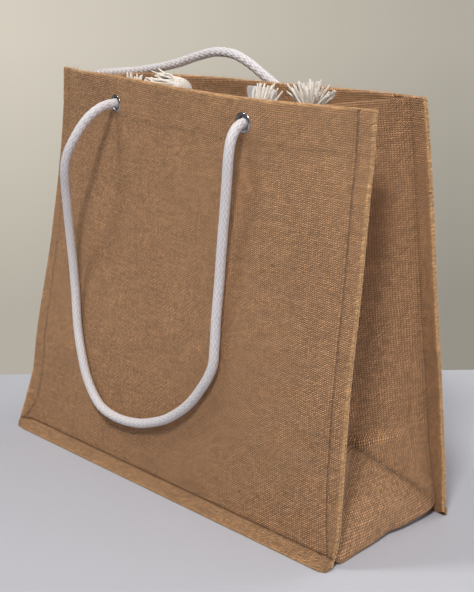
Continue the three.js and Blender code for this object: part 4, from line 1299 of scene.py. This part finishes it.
def stitches_on(panel, place_at, length):
    """Points and faces of a line of stitches, whose place on the panel is given at a share of the line."""
    pitch = sizes().stitch_pitch / MM
    count = int(length / pitch)
    for index in range(count):
        share = (index + 0.5) / count
        half = 0.34 * pitch / length
        start, end = (panel_surface(panel, *place_at(share + reach), 0) for reach in (-half, half))
        normal = outward_at(panel, *place_at(share), 0.4)[1]
        places = np.linspace(0, 1, 5)[:, None]
        lift = CLOTH / 2 - STITCH_SUNK + 0.25 * np.sin(places * math.pi)
        yield yarn_tube(start + (end - start) * places + normal * lift, np.array(STITCH_RADII), 6)


def stitching_piece(name, panel):
    """Thread along a panel's side seams, base seam and hem."""
    root = panel.root_height
    tall = BAG_HEIGHT - 3 - root
    wide = 2 * ROOT_ACROSS

    def up_seam(side):
        return lambda share: (seam_place(panel, side, root + share * tall), root + share * tall)

    def level_seam(height):
        return lambda share: (-ROOT_ACROSS + share * wide, height)

    lines = [
        (up_seam(-1), tall), (up_seam(1), tall), (level_seam(root), wide),
        (level_seam(HEM_LINE + HEM_SEAM_ABOVE), wide),
    ]
    return bundle(name, (tube for place_at, length in lines for tube in stitches_on(panel, place_at, length)))


def fibre_piece(name, panel, count, seed):
    """Loose jute fibres that stand out from a panel's top edge, its side edges and its face."""
    draw = np.random.default_rng(seed)
    kind = draw.random(count)
    on_top = kind < 0.4
    on_side = (kind >= 0.4) & (kind < 0.6)
    across = draw.uniform(-HALF_WIDTH + 1, HALF_WIDTH - 1, count)
    height = draw.uniform(20, BAG_HEIGHT - 2, count)
    height[on_top] = BAG_HEIGHT - 0.3
    across[on_side] = np.sign(across[on_side]) * (HALF_WIDTH - 0.3)
    here, normal = outward_at(panel, across, height, -0.5)
    free = draw.normal(size=(count, 3))
    way = unit(free - normal * np.sum(free * normal, axis=1, keepdims=True)) + normal * 0.3
    way[on_top] = (0, 0, 1) + free[on_top] * 0.5
    aside = here - panel_surface(panel, across - np.sign(across) * 0.5, height, 0)
    way[on_side] = unit(aside[on_side]) + free[on_side] * 0.5
    start = here + normal * np.where(on_top | on_side, 0.3, 0.75)[:, None]
    length = draw.uniform(1.2, 4.2, count)
    bend = draw.normal(size=(count, 3)) * 0.35
    share = np.linspace(0, 1, 5)[:, None]
    radii = 0.09 * (1 - 0.6 * share[:, 0])
    lines = (
        start[index] + (unit(way[index]) * share + bend[index] * share**2) * length[index]
        for index in range(count)
    )
    return bundle(name, (yarn_tube(line, radii, 3) for line in lines))


# Operators


class TOTE_OT_camera(bpy.types.Operator):
    """Sets the camera at the photograph's viewing angle"""

    bl_idname = "tote.camera"
    bl_label = "Camera"

    def execute(self, context):
        back = Vector((
            math.cos(CAMERA_PITCH) * math.sin(CAMERA_AZIMUTH),
            -math.cos(CAMERA_PITCH) * math.cos(CAMERA_AZIMUTH),
            math.sin(CAMERA_PITCH),
        ))
        level = Vector((math.cos(CAMERA_AZIMUTH), math.sin(CAMERA_AZIMUTH), 0))
        upright = back.cross(level)
        right = level * math.cos(CAMERA_ROLL) + upright * math.sin(CAMERA_ROLL)
        up = upright * math.cos(CAMERA_ROLL) - level * math.sin(CAMERA_ROLL)
        turn = Matrix((right, up, back)).transposed()
        deselect_all()
        bpy.ops.object.camera_add(location=CAMERA_PLACE, rotation=turn.to_euler())
        camera = context.object
        camera.name = "Camera"
        camera.data.sensor_width = SENSOR_WIDTH
        camera.data.lens = FOCAL_PX * SENSOR_WIDTH / FRAME_HEIGHT_PX
        camera.data.clip_start = 0.01
        context.scene.camera = camera
        return {"FINISHED"}


class TOTE_OT_handles(bpy.types.Operator):
    """Lays the two rope handles with their knots and frayed ends"""

    bl_idname = "tote.handles"
    bl_label = "Rope handles and knots"

    def execute(self, context):
        draw = random.Random(7)
        ends = {knot.name: knot_piece(knot, draw) for knot in KNOTS}
        radius = sizes().rope_diameter / MM / 2
        relief = sizes().braid_relief / MM
        for name, route, seat in (("front", FRONT_ROUTE, EYELETS[0]), ("rear", REAR_ROUTE, EYELETS[3])):
            line, marks = spaced_route(route)
            rope = rope_piece("Rope_handle_" + name, line, marks, radius, 32, relief)
            dress(rope, "Braided cotton", "cotton_rope", "handle_" + name)
            [value * MM for value in seat.centre]
            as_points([tuple(point * MM) for point in line[::5]] + [tuple(line[-1] * MM)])
        return {"FINISHED"}


class TOTE_OT_panels(bpy.types.Operator):
    """Lays the front and back panels with their pressed seams, hems and soft folds"""

    bl_idname = "tote.panels"
    bl_label = "Front and back panels"

    def execute(self, context):
        for name, panel, creases in (("front", FRONT, FRONT_CREASES), ("back", BACK, BACK_CREASES)):
            piece = panel_piece("Cloth_" + name, panel, creases)
            dress(piece, "Jute cloth", "jute_cloth", name + "_panel")
        return {"FINISHED"}


class TOTE_OT_gusset(bpy.types.Operator):
    """Lays the folded gusset that makes the sides and the base"""

    bl_idname = "tote.gusset"
    bl_label = "Gusset"

    def execute(self, context):
        piece = gusset_piece("Cloth_gusset")
        dress(piece, "Gusset cloth", "jute_cloth", "gusset")
        return {"FINISHED"}


class TOTE_OT_eyelets(bpy.types.Operator):
    """Sets the four metal eyelets through the hems"""

    bl_idname = "tote.eyelets"
    bl_label = "Eyelets"

    def execute(self, context):
        master = eyelet_piece()
        for seat in EYELETS:
            piece = bpy.data.objects.new("Eyelet." + seat.name, master.data.copy())
            context.scene.collection.objects.link(piece)
            outward = Vector(seat.outward).normalized()
            turn = Vector((0, 0, -1)).rotation_difference(outward).to_matrix().to_4x4()
            piece.data.transform(Matrix.Translation(Vector(seat.centre) * MM) @ turn)
            dress(piece, "Eyelet metal", "eyelet_metal", "eyelet_" + seat.name)
        bpy.data.objects.remove(master)
        return {"FINISHED"}


class TOTE_OT_label(bpy.types.Operator):
    """Lays the bare tag inside the back panel"""

    bl_idname = "tote.label"
    bl_label = "Label"

    def execute(self, context):
        piece = label_piece()
        dress(piece, "Label cloth", "label_cloth", "label")
        return {"FINISHED"}


class TOTE_OT_stitching(bpy.types.Operator):
    """Sews the seams and hems"""

    bl_idname = "tote.stitching"
    bl_label = "Stitching"

    def execute(self, context):
        for name, panel in (("front", FRONT), ("back", BACK)):
            dress(stitching_piece("Stitching_" + name, panel), "Seam thread", "jute_cloth")
        return {"FINISHED"}


class TOTE_OT_fibres(bpy.types.Operator):
    """Lays the loose jute fibres of the edges and faces"""

    bl_idname = "tote.fibres"
    bl_label = "Loose fibres"

    def execute(self, context):
        for name, panel, count, seed in (("front", FRONT, 1500, 3), ("back", BACK, 1100, 4)):
            dress(fibre_piece("Fibres_" + name, panel, count, seed), "Loose jute fibre", "jute_cloth")
        return {"FINISHED"}


class TOTE_OT_stage(bpy.types.Operator):
    """Lays the pale table and sets the soft studio light"""

    bl_idname = "tote.stage"
    bl_label = "Stage"

    def execute(self, context):
        centre = Vector((math.sin(CAMERA_AZIMUTH), -math.cos(CAMERA_AZIMUTH), 0))
        centre *= TABLE_DEPTH / 2 - TABLE_EDGE_BEHIND
        deselect_all()
        bpy.ops.mesh.primitive_plane_add(size=1, location=centre, rotation=(0, 0, CAMERA_AZIMUTH))
        floor = context.object
        floor.name = "Floor"
        floor.scale = (TABLE_WIDTH, TABLE_DEPTH, 1)
        bpy.ops.object.transform_apply(location=True, rotation=True, scale=True)
        floor.data.materials.append(material_of("Pale table cloth"))
        for lamp in LAMPS:
            deselect_all()
            bpy.ops.object.light_add(type="AREA", location=lamp.place)
            light = context.object
            light.name = lamp.name
            light.data.size = lamp.size
            light.data.energy = lamp.power
            light.data.color = lamp.tint
            light.rotation_euler = (Vector(lamp.place) - LIGHT_AIM).to_track_quat("Z", "Y").to_euler()
        self.surround(context)
        context.scene.view_settings.view_transform = "Standard"
        return {"FINISHED"}

    def surround(self, context):
        """Even light from all round, and a softly shaded wall where the camera looks past the table."""
        world = bpy.data.worlds.new("Studio")
        context.scene.world = world
        world.use_nodes = True
        tree = world.node_tree
        surroundings = tree.nodes["Background"]
        surroundings.inputs["Color"].default_value = colours().sky
        way = add_node(tree, "TexCoord", output="Generated")
        level = (math.cos(CAMERA_AZIMUTH), math.sin(CAMERA_AZIMUTH), 0)
        sideways = add_node(tree, "VectorMath", {0: way, 1: level}, "Value", operation="DOT_PRODUCT")
        from_left = sideways.spread(-0.17, 0.17, 1.2, 0.8)
        from_top = way.parts()[2].spread(-0.28, -0.08, 0.86, 1.25)
        wall = add_node(tree, "Background", {"Color": dimmed(colours().backdrop, from_left * from_top)})
        seen = add_node(tree, "LightPath", output="Is Camera Ray")
        both = add_node(tree, "MixShader", {0: seen, 1: Signal(surroundings.outputs[0]), 2: wall})
        feed(tree.nodes["World Output"].inputs["Surface"], both)


class TOTE_PT_panel(bpy.types.Panel):
    """Lists the operators that build the bag"""

    bl_idname = "TOTE_PT_panel"
    bl_label = "Tote Bag"
    bl_space_type = "VIEW_3D"
    bl_region_type = "UI"
    bl_category = "Tote Bag"

    def draw(self, context):
        for operator in OPERATORS:
            self.layout.operator(operator.bl_idname)
        for group in (context.scene.tote_sizes, context.scene.tote_colours):
            for name in group.__annotations__:
                self.layout.prop(group, name)


OPERATORS = (
    TOTE_OT_camera,
    TOTE_OT_handles,
    TOTE_OT_panels,
    TOTE_OT_gusset,
    TOTE_OT_eyelets,
    TOTE_OT_label,
    TOTE_OT_stitching,
    TOTE_OT_fibres,
    TOTE_OT_stage,
)
CLASSES = (ToteSizes, ToteColours, *OPERATORS, TOTE_PT_panel)


def register():
    for cls in CLASSES:
        bpy.utils.register_class(cls)
    bpy.types.Scene.tote_sizes = PointerProperty(type=ToteSizes)
    bpy.types.Scene.tote_colours = PointerProperty(type=ToteColours)


def unregister():
    del bpy.types.Scene.tote_colours
    del bpy.types.Scene.tote_sizes
    for cls in reversed(CLASSES):
        bpy.utils.unregister_class(cls)


def main():
    register()
    bpy.ops.tote.camera()
    bpy.ops.tote.handles()
    bpy.ops.tote.panels()
    bpy.ops.tote.gusset()
    bpy.ops.tote.eyelets()
    bpy.ops.tote.label()
    bpy.ops.tote.stitching()
    bpy.ops.tote.fibres()
    bpy.ops.tote.stage()


if __name__ == "__main__":
    main()
